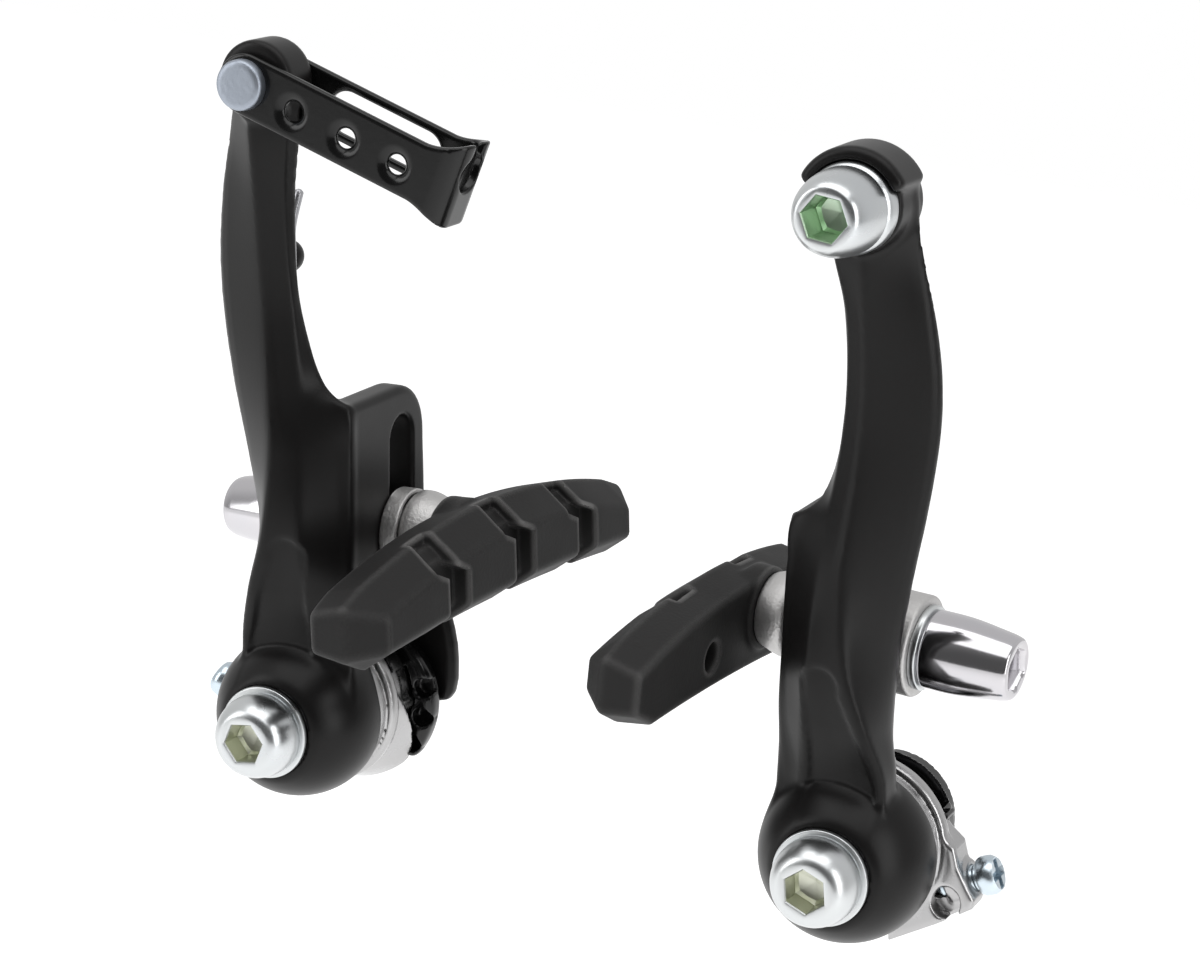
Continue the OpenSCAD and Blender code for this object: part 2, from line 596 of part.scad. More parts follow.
module pad_nut(left) color(zinc) on_stud(left) translate([nut_seat, 0, 0]) {
    end_d = nut_d - 2;
    difference() {
        rotate([0, 90, 0]) rotate_extrude() polygon([[0, 0], [nut_d / 2 - 0.3, 0], [nut_d / 2, 0.4],
            [nut_d / 2, nut_length * 0.38], [end_d / 2, nut_length - 0.8], [end_d / 2 - 0.7, nut_length],
            [0, nut_length]]);
        along_x(-1, stud_end - nut_seat + 0.5, stud_d / 2 + 0.05);
        translate([nut_length - 3, 0, 0]) rotate([0, 90, 0])
            cylinder(h = 4, d = key_size / cos(30), $fn = 6);
    }
}

module on_link() translate(link_pin) rotate([0, link_slope, 0]) children();

// Side plate of the link, round about the rivet, with its end cut square at the bend
module link_side(bend) difference() {
    union() {
        circle(d = link_height);
        translate([0, -link_height / 2]) square([link_length - bend, link_height]);
    }
    circle(d = rivet_d + 0.1);
}

module cable_link() color(paint) on_link() {
    bend = 2;
    seat_rise = 1.6;
    wall_height = link_height + 3.8;
    front = -link_front;
    rear = -link_front + link_width;
    difference() {
        union() {
            plate_y(front, front + link_sheet) link_side(bend);
            plate_y(rear - link_sheet, rear) link_side(bend);
            plate_x(link_length - link_sheet, link_length)
                translate([front + bend, -wall_height / 2]) square([link_width - 2 * bend, wall_height]);
            for (side = [0, 1]) translate([link_length - bend, side ? rear - bend : front + bend, 0])
                mirror([0, side ? 0 : 1, 0]) translate([0, 0, -wall_height / 2]) difference() {
                    cylinder(h = wall_height, r = bend);
                    translate([0, 0, -1]) cylinder(h = wall_height + 2, r = bend - link_sheet);
                    translate([-bend - 1, -bend - 1, -1]) cube([bend + 1, 2 * bend + 2, wall_height + 2]);
                    translate([-1, -bend - 1, -1]) cube([bend + 2, bend + 1, wall_height + 2]);
                }
        }
        translate([0, (front + rear) / 2, seat_rise]) {
            along_x(link_length - bend, link_length + 1, seat_bore_d / 2);
            translate([link_length - bend, -seat_slot_w / 2, 0]) cube([bend + 1, seat_slot_w, wall_height]);
        }
        for (u = [7.5, 15.5, 23.2]) translate([u, 0, -0.4]) along_y(front - 1, front + link_sheet + 1, 1.3);
        translate([0, rear + 1, 0]) rotate([90, 0, 0]) linear_extrude(link_sheet + 2) {
            for (u = [11, link_length - 9]) translate([u, 0]) circle(r = 2.8);
            translate([11, -2.8]) square([link_length - 20, 5.6]);
        }
    }
}

module link_rivet() color(steel) translate(link_pin) {
    along_y(-link_front, -link_front + link_width, rivet_d / 2);
    along_y(-link_front - 1.6, -link_front, rivet_head_d / 2);
    along_y(-link_front + link_width, -link_front + link_width + 1, rivet_d / 2 + 0.6);
}

module cable_clamp_washer() color(zinc) on_arm(false) translate([clamp_x, 0, clamp_z]) difference() {
    along_y(-clamp_face - clamp_washer_t, -clamp_face, clamp_washer_d / 2);
    along_y(-clamp_face - clamp_washer_t - 1, -clamp_face + 1, bolt_d / 2 + 0.2);
}

module cable_clamp_bolt() color(zinc) on_arm(false)
    translate([clamp_x, -clamp_face - clamp_washer_t, clamp_z])
    button_screw(bolt_d, clamp_washer_t + clamp_face - right_head_rear + 0.5, clamp_head_d, clamp_head_h,
        key_size, clamp_washer_t - 0.4);

arm(true);  // left_arm
pivot_bush(true);  // left_pivot_bush
pivot_bolt(true);  // left_pivot_bolt
pivot_washer(true);  // left_pivot_washer
spring_plate(true);  // left_spring_plate
spring_cap(true);  // left_spring_cap
return_spring(true);  // left_return_spring
tension_screw(true);  // left_tension_screw
arm(false);  // right_arm
pivot_bush(false);  // right_pivot_bush
pivot_bolt(false);  // right_pivot_bolt
pivot_washer(false);  // right_pivot_washer
spring_plate(false);  // right_spring_plate
spring_cap(false);  // right_spring_cap
return_spring(false);  // right_return_spring
tension_screw(false);  // right_tension_screw
pad(true);  // left_pad
pad_stud(true);  // left_pad_stud
cup_washer(true, true);  // left_inner_cup_washer
ball_washer(true, true);  // left_inner_ball_washer
cup_washer(true, false);  // left_outer_cup_washer
ball_washer(true, false);  // left_outer_ball_washer
flat_washer(true);  // left_flat_washer
pad_nut(true);  // left_pad_nut
pad(false);  // right_pad
pad_stud(false);  // right_pad_stud
cup_washer(false, true);  // right_inner_cup_washer
ball_washer(false, true);  // right_inner_ball_washer
cup_washer(false, false);  // right_outer_cup_washer
ball_washer(false, false);  // right_outer_ball_washer
flat_washer(false);  // right_flat_washer
pad_nut(false);  // right_pad_nut
cable_link();
link_rivet();
cable_clamp_bolt();
cable_clamp_washer();
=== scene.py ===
"""Studio picture of the v-brake: every visible piece is modelled here over the CAD frame."""
import math

import bpy
import numpy as np
from mathutils import Matrix, Vector


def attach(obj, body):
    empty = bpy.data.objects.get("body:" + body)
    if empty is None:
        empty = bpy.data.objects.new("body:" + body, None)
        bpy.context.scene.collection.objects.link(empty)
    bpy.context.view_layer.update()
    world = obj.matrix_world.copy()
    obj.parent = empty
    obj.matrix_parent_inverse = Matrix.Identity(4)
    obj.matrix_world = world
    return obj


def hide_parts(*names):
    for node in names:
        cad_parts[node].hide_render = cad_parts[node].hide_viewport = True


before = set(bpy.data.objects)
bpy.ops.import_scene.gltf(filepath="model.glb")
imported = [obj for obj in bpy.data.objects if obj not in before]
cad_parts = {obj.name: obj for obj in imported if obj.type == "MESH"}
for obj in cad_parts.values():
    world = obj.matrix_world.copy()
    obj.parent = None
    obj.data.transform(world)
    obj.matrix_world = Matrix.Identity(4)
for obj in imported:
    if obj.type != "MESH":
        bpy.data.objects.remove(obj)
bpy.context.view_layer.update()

SIDES = ("left", "right")
SWING = {"left": 4.7, "right": -3.3}
BOSS_X = 40.0
HUB_CENTRE_Y, HUB_R = -4.6, 11.5
BORE_R = 6.05
BLOCK_X = (-9.46, -5.04)      # a hair inside the washers that slide on it
BLOCK_MID = 7.25
SLOT, SLOT_R = (19.3, 37.1), 3.3      # heights of the centres of its ends, half its width
STUD_Y = 6.6
STUD = {"left": (24.4, 1.7, 6.0, 1.8), "right": (26.2, 2.8, -4.4, -1.4)}    # height, droop, yaw, pitch
ARM_REACH = 87.3
PIN_X = 0.4
RIVET_HOLE_R = 2.05
CLAMP = (-0.1, 85.4)
CLAMP_FACE = 17.6
LINK_LENGTH, LINK_SLOPE, LINK_FRONT, LINK_WIDTH = 31.5, 15.8, -18.5, 9.4
PAD_BACK, PAD_DEPTH, PAD_AHEAD, PAD_HALF = 9.85, 10.4, 0.8, 35.0
GROOVE_PITCH = 16.45
RIM_R, PAD_FOOT_R = 112, 355
PEG = (4.1, 62.2)
SCREW_AT, SCREW_TILT = (12.9, 3.8, -3.4), 25
FRAME_PIN = (-9.9, 0.3)
GATE, UNDER = (28, 104), (150, 290)   # sectors of the housing, in degrees
BUSH_END, HEAD_SEAT = 14.2, 15.1
THREAD_R, WASHER_BORE_R, KEY_R = 2.925, 3.125, 2.95


# Places

def turn(axis, degrees):
    return np.array(Matrix.Rotation(math.radians(degrees), 4, axis))


def shift(x, y, z):
    m = np.eye(4)
    m[:3, 3] = x, y, z
    return m


def on_boss(side):
    place = shift(BOSS_X, 0, 0)
    return np.diag([-1.0, 1, 1, 1]) @ place if side == "left" else place


def on_arm(side):
    return on_boss(side) @ turn("Y", SWING[side])


def on_stud(side):
    height, droop, yaw, pitch = STUD[side]
    return (on_arm(side) @ shift(-BLOCK_MID, STUD_Y, height)
            @ turn("Z", yaw) @ turn("Y", droop) @ turn("X", pitch))


def on_screw(side):
    return on_boss(side) @ shift(*SCREW_AT) @ turn("Y", -SCREW_TILT)


def on_link():
    left = on_arm("left") @ np.array([PIN_X, 0, ARM_REACH, 1.0])
    return shift(left[0], 0, left[2]) @ turn("Y", LINK_SLOPE)


ALONG_Y = turn("X", -90)     # turned parts are drawn on +Z and laid along +Y
ALONG_X = turn("Y", 90)


# Meshes

def piece(name, verts, faces, place, body, nodes, material, sharp=35):
    """One visible piece: drawn in mm in its own frame, placed in the row frame, riding on its body."""
    v = np.asarray(verts, float) @ place[:3, :3].T + place[:3, 3]
    if np.linalg.det(place[:3, :3]) < 0:
        faces = [tuple(reversed(f)) for f in faces]
    mesh = bpy.data.meshes.new(name)
    mesh.from_pydata((v / 1000).tolist(), [], [tuple(f) for f in faces])
    mesh.validate()
    mesh.shade_smooth()
    mesh.set_sharp_from_angle(angle=math.radians(sharp))
    obj = bpy.data.objects.new(name, mesh)
    bpy.context.scene.collection.objects.link(obj)
    mesh.materials.append(material)
    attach(obj, body)
    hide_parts(*nodes)
    return obj


def softened(points, reach, steps=4, closed=False):
    """Line through points with each corner rounded over at most this reach."""
    points = [np.asarray(p, float) for p in points]
    reaches = reach if isinstance(reach, (list, tuple)) else [reach] * len(points)
    out = []
    count = len(points)
    for i, c in enumerate(points):
        if not closed and i in (0, count - 1):
            out.append(c)
            continue
        a, b = points[i - 1], points[(i + 1) % count]
        la, lb = np.linalg.norm(a - c), np.linalg.norm(b - c)
        if min(la, lb, reaches[i]) < 1e-6:
            out.append(c)
            continue
        p, q = c + (a - c) * min(reaches[i] / la, 0.48), c + (b - c) * min(reaches[i] / lb, 0.48)
        for k in range(steps + 1):
            t = k / steps
            out.append(p * (1 - t) ** 2 + c * 2 * t * (1 - t) + q * t * t)
    return out


def turned(profile, sides=96, shape=None):
    """Lathe work on +Z. Rings are (radius, height) or (radius, height, share), and share blends
    the ring from round to the shape, a function of the angle that gives the radius factor."""
    angles = np.arange(sides) * 2 * math.pi / sides
    factor = np.ones(sides) if shape is None else np.array([shape(a) for a in angles])
    verts, faces = [], []
    for ring in profile:
        share = ring[2] if len(ring) > 2 else 0
        r = ring[0] * (1 + share * (factor - 1))
        verts.append(np.stack([r * np.cos(angles), r * np.sin(angles), np.full(sides, ring[1])], 1))
    for i in range(len(profile) - 1):
        for j in range(sides):
            k = (j + 1) % sides
            faces.append((i * sides + j, i * sides + k, (i + 1) * sides + k, (i + 1) * sides + j))
    if profile[0][0] > 1e-4:
        faces.append(tuple(reversed(range(sides))))
    last = (len(profile) - 1) * sides
    if profile[-1][0] > 1e-4:
        faces.append(tuple(range(last, last + sides)))
    return np.concatenate(verts), faces


def ring_of(outline, sides=96):
    """Closed outline (radius, height), drawn anticlockwise, turned to a ring."""
    angles = np.arange(sides) * 2 * math.pi / sides
    n = len(outline)
    verts = np.concatenate([np.stack([r * np.cos(angles), r * np.sin(angles), np.full(sides, h)], 1)
                            for r, h in outline])
    faces = [(i * sides + j, i * sides + (j + 1) % sides, (i + 1) % n * sides + (j + 1) % sides,
              (i + 1) % n * sides + j) for i in range(n) for j in range(sides)]
    return verts, faces


def hexagon(angle):
    """Radius factor of a hexagon as wide across its flats as the circle."""
    return 1 / math.cos((angle % (math.pi / 3)) - math.pi / 6)


def cross(angle):
    """Radius factor of a cross recess inside the unit circle."""
    c, s = abs(math.cos(angle)), abs(math.sin(angle))
    bar = 0.3
    return max(min(1 / max(c, 1e-6), bar / max(s, 1e-6)), min(1 / max(s, 1e-6), bar / max(c, 1e-6)))


def tube(route, radius, sides=16):
    """Round wire through points, closed by small domes."""
    route = np.asarray(route, float)
    verts, faces = [], []
    along = np.gradient(route, axis=0)
    along /= np.linalg.norm(along, axis=1)[:, None]
    side = np.cross(along[0], (0, 1, 0.3))
    domes = [(0.35, -0.4), (0.8, -0.2)]      # share of the radius, and how far out of the end
    rings = ([(0, s, d) for s, d in domes] + [(i, 1, 0) for i in range(len(route))]
             + [(len(route) - 1, s, -d) for s, d in reversed(domes)])
    angles = np.arange(sides) * 2 * math.pi / sides
    for i, scale, push in rings:
        t = along[i]
        side = side - t * (side @ t)
        side /= np.linalg.norm(side)
        up = np.cross(t, side)
        verts.append(route[i] + t * push * radius * 1.6
                     + radius * scale * (np.cos(angles)[:, None] * side + np.sin(angles)[:, None] * up))
    for i in range(len(rings) - 1):
        for j in range(sides):
            k = (j + 1) % sides
            faces.append((i * sides + j, i * sides + k, (i + 1) * sides + k, (i + 1) * sides + j))
    last = (len(rings) - 1) * sides
    faces += [tuple(reversed(range(sides))), tuple(range(last, last + sides))]
    return np.concatenate(verts), faces


def smooth_route(points, steps):
    """Catmull-Rom curve through points."""
    p = [np.asarray(q, float) for q in points]
    p = [2 * p[0] - p[1]] + p + [2 * p[-1] - p[-2]]
    out = []
    for a, b, c, d in zip(p, p[1:], p[2:], p[3:]):
        for k in range(steps):
            t = k / steps
            out.append(0.5 * (2 * b + (c - a) * t + (2 * a - 5 * b + 4 * c - d) * t * t
                              + (3 * b - a - 3 * c + d) * t ** 3))
    return out + [p[-2]]


# Distance fields

def reach(*parts):
    return np.sqrt(sum(p * p for p in parts))


def both(a, b, r=0.0):
    """Where two solids overlap, its edge rounded by r."""
    if not r:
        return np.maximum(a, b)
    h = np.maximum(r - np.abs(a - b), 0) / r
    return np.maximum(a, b) + h * h * r / 4


def either(a, b, r=0.0):
    """Two solids joined, with a fillet of r."""
    return -both(-a, -b, r)


def less(a, b, r=0.0):
    """One solid cut out of another, the cut's edge rounded by r."""
    return both(a, -b, r)


def between(w, low, high):
    return np.maximum(low - w, w - high)


def outline(u, v, corners):
    """Signed distance from a closed outline, which may differ from point to point."""
    c = np.asarray(corners, float)
    if c.ndim == 2:
        c = c[None]
    n = c.shape[1]
    best = np.full(len(u), 1e9)
    inside = np.zeros(len(u), bool)
    for i in range(n):
        ax, ay = c[:, i, 0], c[:, i, 1]
        bx, by = c[:, (i + 1) % n, 0], c[:, (i + 1) % n, 1]
        ex, ey, px, py = bx - ax, by - ay, u - ax, v - ay
        t = np.clip((px * ex + py * ey) / np.maximum(ex * ex + ey * ey, 1e-12), 0, 1)
        dx, dy = px - t * ex, py - t * ey
        best = np.minimum(best, dx * dx + dy * dy)
        level = np.where(np.abs(ey) < 1e-12, 1e-12, ey)
        inside ^= ((ay <= v) != (by <= v)) & (px < py * ex / level)
    return np.where(inside, -1, 1) * np.sqrt(best)


def arc(radius, start, end, steps, centre=(0, 0)):
    angles = np.radians(np.linspace(start, end, steps + 1))
    return [(centre[0] + radius * math.cos(a), centre[1] + radius * math.sin(a)) for a in angles]


def in_parts(field, points, size=150000):
    return np.concatenate([field(points[i:i + size]) for i in range(0, len(points), size)])


SPAN = 4         # grid points along each side of a coarse block
NEAR = 4.6       # steps from the centre of a block within which the surface may cross it


def skin(field, low, high, step):
    """Quads on the surface where the field is zero: one vertex in each grid cell that it crosses,
    pulled onto the surface along the field's slope."""
    low = np.asarray(low, float) - 2 * step
    blocks = [int(math.ceil((b + 2 * step - a) / step / SPAN)) for a, b in zip(low, high)]
    counts = [b * SPAN for b in blocks]
    first_corners = np.stack(np.meshgrid(*[np.arange(b) * SPAN for b in blocks], indexing="ij"), -1)
    first_corners = first_corners.reshape(-1, 3)
    coarse = in_parts(field, low + (first_corners + (SPAN - 1) / 2) * step)
    near = np.abs(coarse) < step * NEAR
    f = np.repeat(coarse, SPAN ** 3).reshape(-1, SPAN ** 3)
    cell = np.stack(np.meshgrid(*[np.arange(SPAN)] * 3, indexing="ij"), -1).reshape(1, -1, 3)
    points = (first_corners[near][:, None] + cell).reshape(-1, 3)
    f[near] = in_parts(field, low + points * step).reshape(-1, SPAN ** 3)
    f = f.reshape(*blocks, SPAN, SPAN, SPAN).transpose(0, 3, 1, 4, 2, 5).reshape(counts)
    inside = f < 0
    cells = [c - 1 for c in counts]
    total = np.zeros(cells[0] * cells[1] * cells[2])
    place = np.zeros((len(total), 3))
    quads = []
    for axis in range(3):
        first = [slice(None)] * 3
        second = [slice(None)] * 3
        first[axis], second[axis] = slice(0, -1), slice(1, None)
        a, b = f[tuple(first)], f[tuple(second)]
        at = np.argwhere(inside[tuple(first)] != inside[tuple(second)])
        va, vb = a[tuple(at.T)], b[tuple(at.T)]
        spot = at.astype(float)
        spot[:, axis] += va / (va - vb)
        i, j = (axis + 1) % 3, (axis + 2) % 3
        around = []
        for di, dj in ((-1, -1), (0, -1), (0, 0), (-1, 0)):
            c = at.copy()
            c[:, i] += di
            c[:, j] += dj
            around.append((c[:, 0] * cells[1] + c[:, 1]) * cells[2] + c[:, 2])
        for ids in around:
            total += np.bincount(ids, minlength=len(total))
            for k in range(3):
                place[:, k] += np.bincount(ids, weights=spot[:, k], minlength=len(total))
        quad = np.stack(around, 1)
        quads.append(np.where((va < 0)[:, None], quad, quad[:, ::-1]))
    used = total > 0
    number = np.cumsum(used) - 1
    v = low + place[used] / total[used][:, None] * step
    for _ in range(2):
        h = step * 0.2
        slope = np.stack([in_parts(field, v + d) - in_parts(field, v - d)
                          for d in np.eye(3) * h], 1) / (2 * h)
        pull = in_parts(field, v) / np.maximum((slope ** 2).sum(1), 0.2)
        v = v - np.clip(pull, -0.6 * step, 0.6 * step)[:, None] * slope
    return v, number[np.concatenate(quads)].tolist()


# Arms

# Edge lines of the forging as height, x, y: the corners of its section
OUTER_EDGE = [(4, 6.5, -6.5), (12, 6.4, -6), (18, 5.2, -5.8), (27, 5.4, -6.2), (36, 7, -7.2),
              (46, 8.9, -8.2), (56, 10.1, -9), (64, 10.1, -9.8), (72, 9, -10.6), (80, 7.2, -11),
              (88, 5.4, -12.5)]
RIB_EDGE = [(4, 6, -10), (12, 6, -10.5), (19, 3.9, -12.7), (27, 1.2, -13.7), (38, -0.1, -13.5),
            (46, 0.5, -12.9), (56, 1.2, -12.6), (64, 1.4, -13.3), (72, 1.2, -14.7), (80, 1, -16.3),
            (88, 0.8, -17.2)]
PANEL_EDGE = [(4, 0, -9), (12, 0, -9.8), (19, -1, -11.9), (27, -2, -13.3), (38, -2, -12.8),
              (46, -0.8, -12.5), (56, 0.3, -12.4), (64, 0.6, -13.1), (72, 0.4, -14.5),
              (80, 0.2, -16.2), (88, 0, -17.2)]
INNER_EDGE = [(4, -5.5, -9), (12, -5.4, -9.4), (19, -4.8, -11.6), (27, -4.4, -13.2), (38, -4, -12),
              (46, -3.4, -10.6), (56, -2.4, -10.4), (64, -1.9, -11.4), (72, -2.2, -12.8),
              (80, -3.6, -15), (88, -4.6, -16)]
WEB_EDGE = [(4, -6.5, -7), (12, -8, -7.6), (19, -9.2, -7.9), (27, -9.3, -7.9), (38, -9.3, -7.9),
            (43.5, -9, -7.9), (47, -5.6, -7.9), (52, -3.6, -8.2), (60, -2.4, -9.4), (72, -2.9, -11),
            (80, -4.4, -12.6), (88, -4.9, -13.5)]
REAR_INNER = [(4, -5, -3), (12, -5.4, -3.2), (40, -5.4, -4), (50, 0, -3.6), (60, 1.8, -3.6),
              (70, 1.2, -5.4), (78, -1.6, -10.9), (88, -3.4, -10.9)]
REAR_OUTER = [(4, 5.5, -3), (12, 4.6, -3.4), (40, 5.4, -3.6), (50, 6.6, -3.6), (60, 7.4, -3.8),
              (70, 6.4, -5.6), (78, 5, -10.9), (88, 4.2, -10.9)]
CORNERS = [REAR_OUTER, REAR_INNER, WEB_EDGE, INNER_EDGE, PANEL_EDGE, RIB_EDGE, OUTER_EDGE]
ROUNDING = [0.3, 0.3, 0.1, 0.16, 0.2, 0.2, 0.3]
LOW, HIGH, TABLE_STEP = 4.0, 88.0, 0.25


def edge_at(keys, z):
    """Smooth curve through an edge line at the heights z."""
    k = np.asarray(keys, float)
    slopes = np.array([(k[min(i + 1, len(k) - 1), 1:] - k[max(i - 1, 0), 1:])
                       / (k[min(i + 1, len(k) - 1), 0] - k[max(i - 1, 0), 0]) for i in range(len(k))])
    i = np.clip(np.searchsorted(k[:, 0], z, side="right") - 1, 0, len(k) - 2)
    h = (k[i + 1, 0] - k[i, 0])[:, None]
    t = (z - k[i, 0])[:, None] / h
    s = t * t * (3 - 2 * t)
    return (k[i, 1:] * (1 - s) + k[i + 1, 1:] * s + slopes[i] * t * (1 - t) ** 2 * h
            + slopes[i + 1] * t * t * (t - 1) * h)


def section_table():
    heights = np.arange(LOW, HIGH + TABLE_STEP, TABLE_STEP)
    corners = np.stack([edge_at(k, heights) for k in CORNERS], 1)
    rings = []
    n = len(CORNERS)
    for i in range(n):
        c, a, b = corners[:, i], corners[:, i - 1], corners[:, (i + 1) % n]
        start, end = c + (a - c) * ROUNDING[i], c + (b - c) * ROUNDING[i]
        for t in (0, 0.25, 0.5, 0.75, 1):
            rings.append(start * (1 - t) ** 2 + c * 2 * t * (1 - t) + end * t * t)
    return np.stack(rings, 1)


SECTIONS = section_table()


def beam(x, y, z):
    s = np.clip((z - LOW) / TABLE_STEP, 0, len(SECTIONS) - 1.001)
    i = s.astype(int)
    t = (s - i)[:, None, None]
    d = outline(x, y, SECTIONS[i] * (1 - t) + SECTIONS[i + 1] * t)
    return both(d, between(z, 5, 87), 0.8)


def block(x, y, z):
    side = outline(y, z, [(-7.6, 4), (-7.6, 44.4)] + arc(7, 90, 5, 8, (6.4, 37.4))
                   + [(14, 28.4), (14, 13), (-1.6, 12), (-2.4, 11.4), (-2.4, 4)])
    return both(side, between(x, *BLOCK_X), 1.2)


def guard(x, y, z):
    foot = outline(x, z, [(-12.6, -1.4), (-14.1, -1), (-14.8, 0), (-15.2, 2), (-15.2, 4.7), (-15, 7),
                          (-14.5, 9.4), (-13.7, 11.9), (-12, 14.6), (-9.5, 17), (-5.5, 17)]
                   + arc(9.3, 126, 187, 12))
    return both(foot, between(y, 11.4, 13.8), 0.9)


def arm_field(p, side):
    x, y, z = p.T
    hub = both(reach(x, y - HUB_CENTRE_Y, z) - HUB_R, between(y, -14, -2), 0.9)
    body = either(either(beam(x, y, z), hub, 1.1), block(x, y, z), 1.6)
    body = either(body, guard(x, y, z), 0.6)
    px, pz = x - PEG[0], z - PEG[1]
    peg = either(both(reach(px, pz) - 1.2, between(y, -6, -1)), reach(px, y + 0.9, pz) - 2.3, 0.3)
    body = either(body, peg, 0.8)
    # arch topped recess in the neck, its foot on the ball
    arch = outline(x, z, [(-3.3, 0), (5.2, 0), (4.6, 11), (2.2, 18), (0.1, 23)]
                   + arc(2.4, 10, 170, 8, (-2.4, 24.2)) + [(-4.0, 16), (-4.1, 8)])
    floor = both(arch, reach(x, y - HUB_CENTRE_Y, z) * -1 + HUB_R + 0.25, 0.5)
    body = less(body, both(floor, both(y + 8, -beam(x, y, z) - 0.3), 0.4), 0.7)
    if side == "left":
        head = both(reach(x - PIN_X + 0.7, z - ARM_REACH - 0.3) - 5.2, between(y, -17.2, -10.7), 1.0)
        body = either(body, head, 1.0)
        body = less(body, both(reach(x - PIN_X, z - ARM_REACH) - RIVET_HOLE_R, between(y, -20, -8)))
    else:
        cx, cz = x - CLAMP[0], z - CLAMP[1]
        r = reach(cx, cz)
        head = both(r - 5.8, between(y, -CLAMP_FACE, -9), 0.9)
        wedge = outline(cx, cz, [(0, -1)] + arc(12, 28, 155, 14))
        hook = both(both(r - 7.35, between(y, -19.6, -11), 1.3), wedge, 1.0)
        body = either(either(body, head, 1.2), hook, 1.4)
        body = less(body, both(r - 5.75, between(y, -30, -CLAMP_FACE)), 0.5)
        body = less(body, both(r - 2.98, between(y, -22, -8)), 0.3)
    slot = reach(y - STUD_Y, z - np.clip(z, *SLOT)) - SLOT_R
    body = less(body, both(slot, between(x, -11, 15)), 0.5)
    return less(body, both(reach(x, z) - BORE_R, between(y, -30, 30)), 0.5)


# Pads

def slope(d1, z1, d2, z2, d, h):
    """Distance above the line through two points of a section."""
    return ((d2 - d1) * (h - z1) - (z2 - z1) * (d - d1)) / math.hypot(d2 - d1, z2 - z1)


def pad_field(p):
    x, y, z = p.T
    depth, v = -x - PAD_BACK, y - PAD_AHEAD
    run = PAD_HALF - np.abs(v)
    end = np.clip(run / 4.5, 0, 1)
    ridge = 6.0
    face = PAD_DEPTH - (PAD_DEPTH - ridge - 0.5) * (1 - end)
    top = 5.5 - y * y / (2 * RIM_R) - 0.5 * (1 - end)
    foot = -8.4 - y * y / (2 * PAD_FOOT_R) + 2.6 * (1 - end)
    above, under = z - top, foot - z
    upper = both(slope(0.6, -1.3, ridge, 0, depth, above),
                 slope(ridge, 0, PAD_DEPTH, -3.6, depth, above), 0.35)
    lower = both(slope(0.6, -0.9, ridge, 0, depth, under),
                 slope(ridge, 0, PAD_DEPTH, -3.0, depth, under), 0.35)
    across = both(both(upper, lower, 0.5), (depth - face) * 0.82, 0.6)
    d = both(both(across, 0.6 + 0.4 * (1 - end) ** 2 - depth, 0.8), -run, 0.7)
    for y0 in (-GROOVE_PITCH, 0, GROOVE_PITCH):
        level = z - 1.2 + y0 * y0 / (2 * RIM_R)
        lean = np.clip(0.5 - level / 1.2, 0, 1) * 2.5
        strip = np.abs(v - y0 - lean) - 2.2
        cut = both(strip, PAD_DEPTH - 2.6 - depth, 0.3)
        edge = both(strip, -across - 1.5, 0.3)
        d = less(d, either(cut, both(edge, 5.0 - depth, 0.3), 0.3), 0.3)
    d = either(d, both(reach(y, z) - 5.5, between(depth, 0, 3), 0.4), 0.9)
    return less(d, both(reach(y + 14.5, z + 3.5) - 2, between(depth, -1, 4)), 0.4)


# Spring housings

def sector(x, z, start, end):
    """Wedge about the pivot between two angles, wider than the housing."""
    return outline(x, z, [(0, 0)] + arc(20, start, end, 8))


def plate_field(p):
    x, y, z = p.T
    r = reach(x, z)
    body = outline(r, y, [(BORE_R, -1.6), (10.2, -1.6), (10.4, 0.6), (11.1, 0.7), (11.4, 1.2),
                          (11.4, 2.2), (11.1, 2.6), (10.4, 2.7), (10.4, 5), (9.4, 5), (9.4, 2.2),
                          (BORE_R, 2.2)])
    body = body - 0.1
    wall = both(between(r, 9.4, 10.4), sector(x, z, *UNDER))
    body = either(body, both(wall, between(y, 1, 9.4), 0.5), 0.4)
    # the skirt flares out below the cap's lobe, whose foot it meets along a slanting edge
    angle = np.degrees(np.arctan2(z, x)) % 360
    swept = between(angle, 148 + 9.5 * (y - 1.5), 264) * np.maximum(r, 5) * math.pi / 180
    skirt = both(both(r - 10.5 - 0.45 * (y - 2.4), 9.7 - r, 0.3), swept, 0.8)
    body = either(body, both(skirt, between(y, 0.8, 9.2), 0.5), 0.6)
    plan = outline(x, z, [(10, 3.6), (12.4, 1.9), (13.3, -0.6), (14.8, -2.9), (15.9, -4.4), (15.7, -5.7),
                          (11.5, -8.8), (5.2, -12.9), (4.5, -9)])
    lug = both(plan, between(y, 0.4, 5.6), 0.8)
    lug = less(lug, both(r - 10.6, between(y, 5, 9)))
    lug = less(lug, both(reach((x - 12.2) * 1.15, z + 5.6) - 2.2, between(y, -1, 2.6)), 0.5)
    body = either(body, lug, 0.6)
    pin = both(reach(x - FRAME_PIN[0], z - FRAME_PIN[1]) - 1.1, between(y, 2.1, 16.9), 0.2)
    body = either(body, pin, 0.2)
    body = less(body, both(r - 9.4, between(y, 2.3, 12)), 0.2)
    body = less(body, both(sector(x, z, *GATE), between(y, 2.7, 12)), 0.4)
    # the collar and bore of the tension screw, along u
    a = math.radians(SCREW_TILT)
    dx, dy, dz = x - SCREW_AT[0], y - SCREW_AT[1], z - SCREW_AT[2]
    u, w = dx * math.cos(a) + dz * math.sin(a), dz * math.cos(a) - dx * math.sin(a)
    collar = both(reach(w, dy) - 2.6, between(u, -1.6, 2.0), 0.5)
    body = either(body, less(collar, both(r - 10.6, between(y, 5, 9))), 0.5)
    return less(body, both(reach(w, dy) - 1.75, between(u, -7, 8)), 0.25)


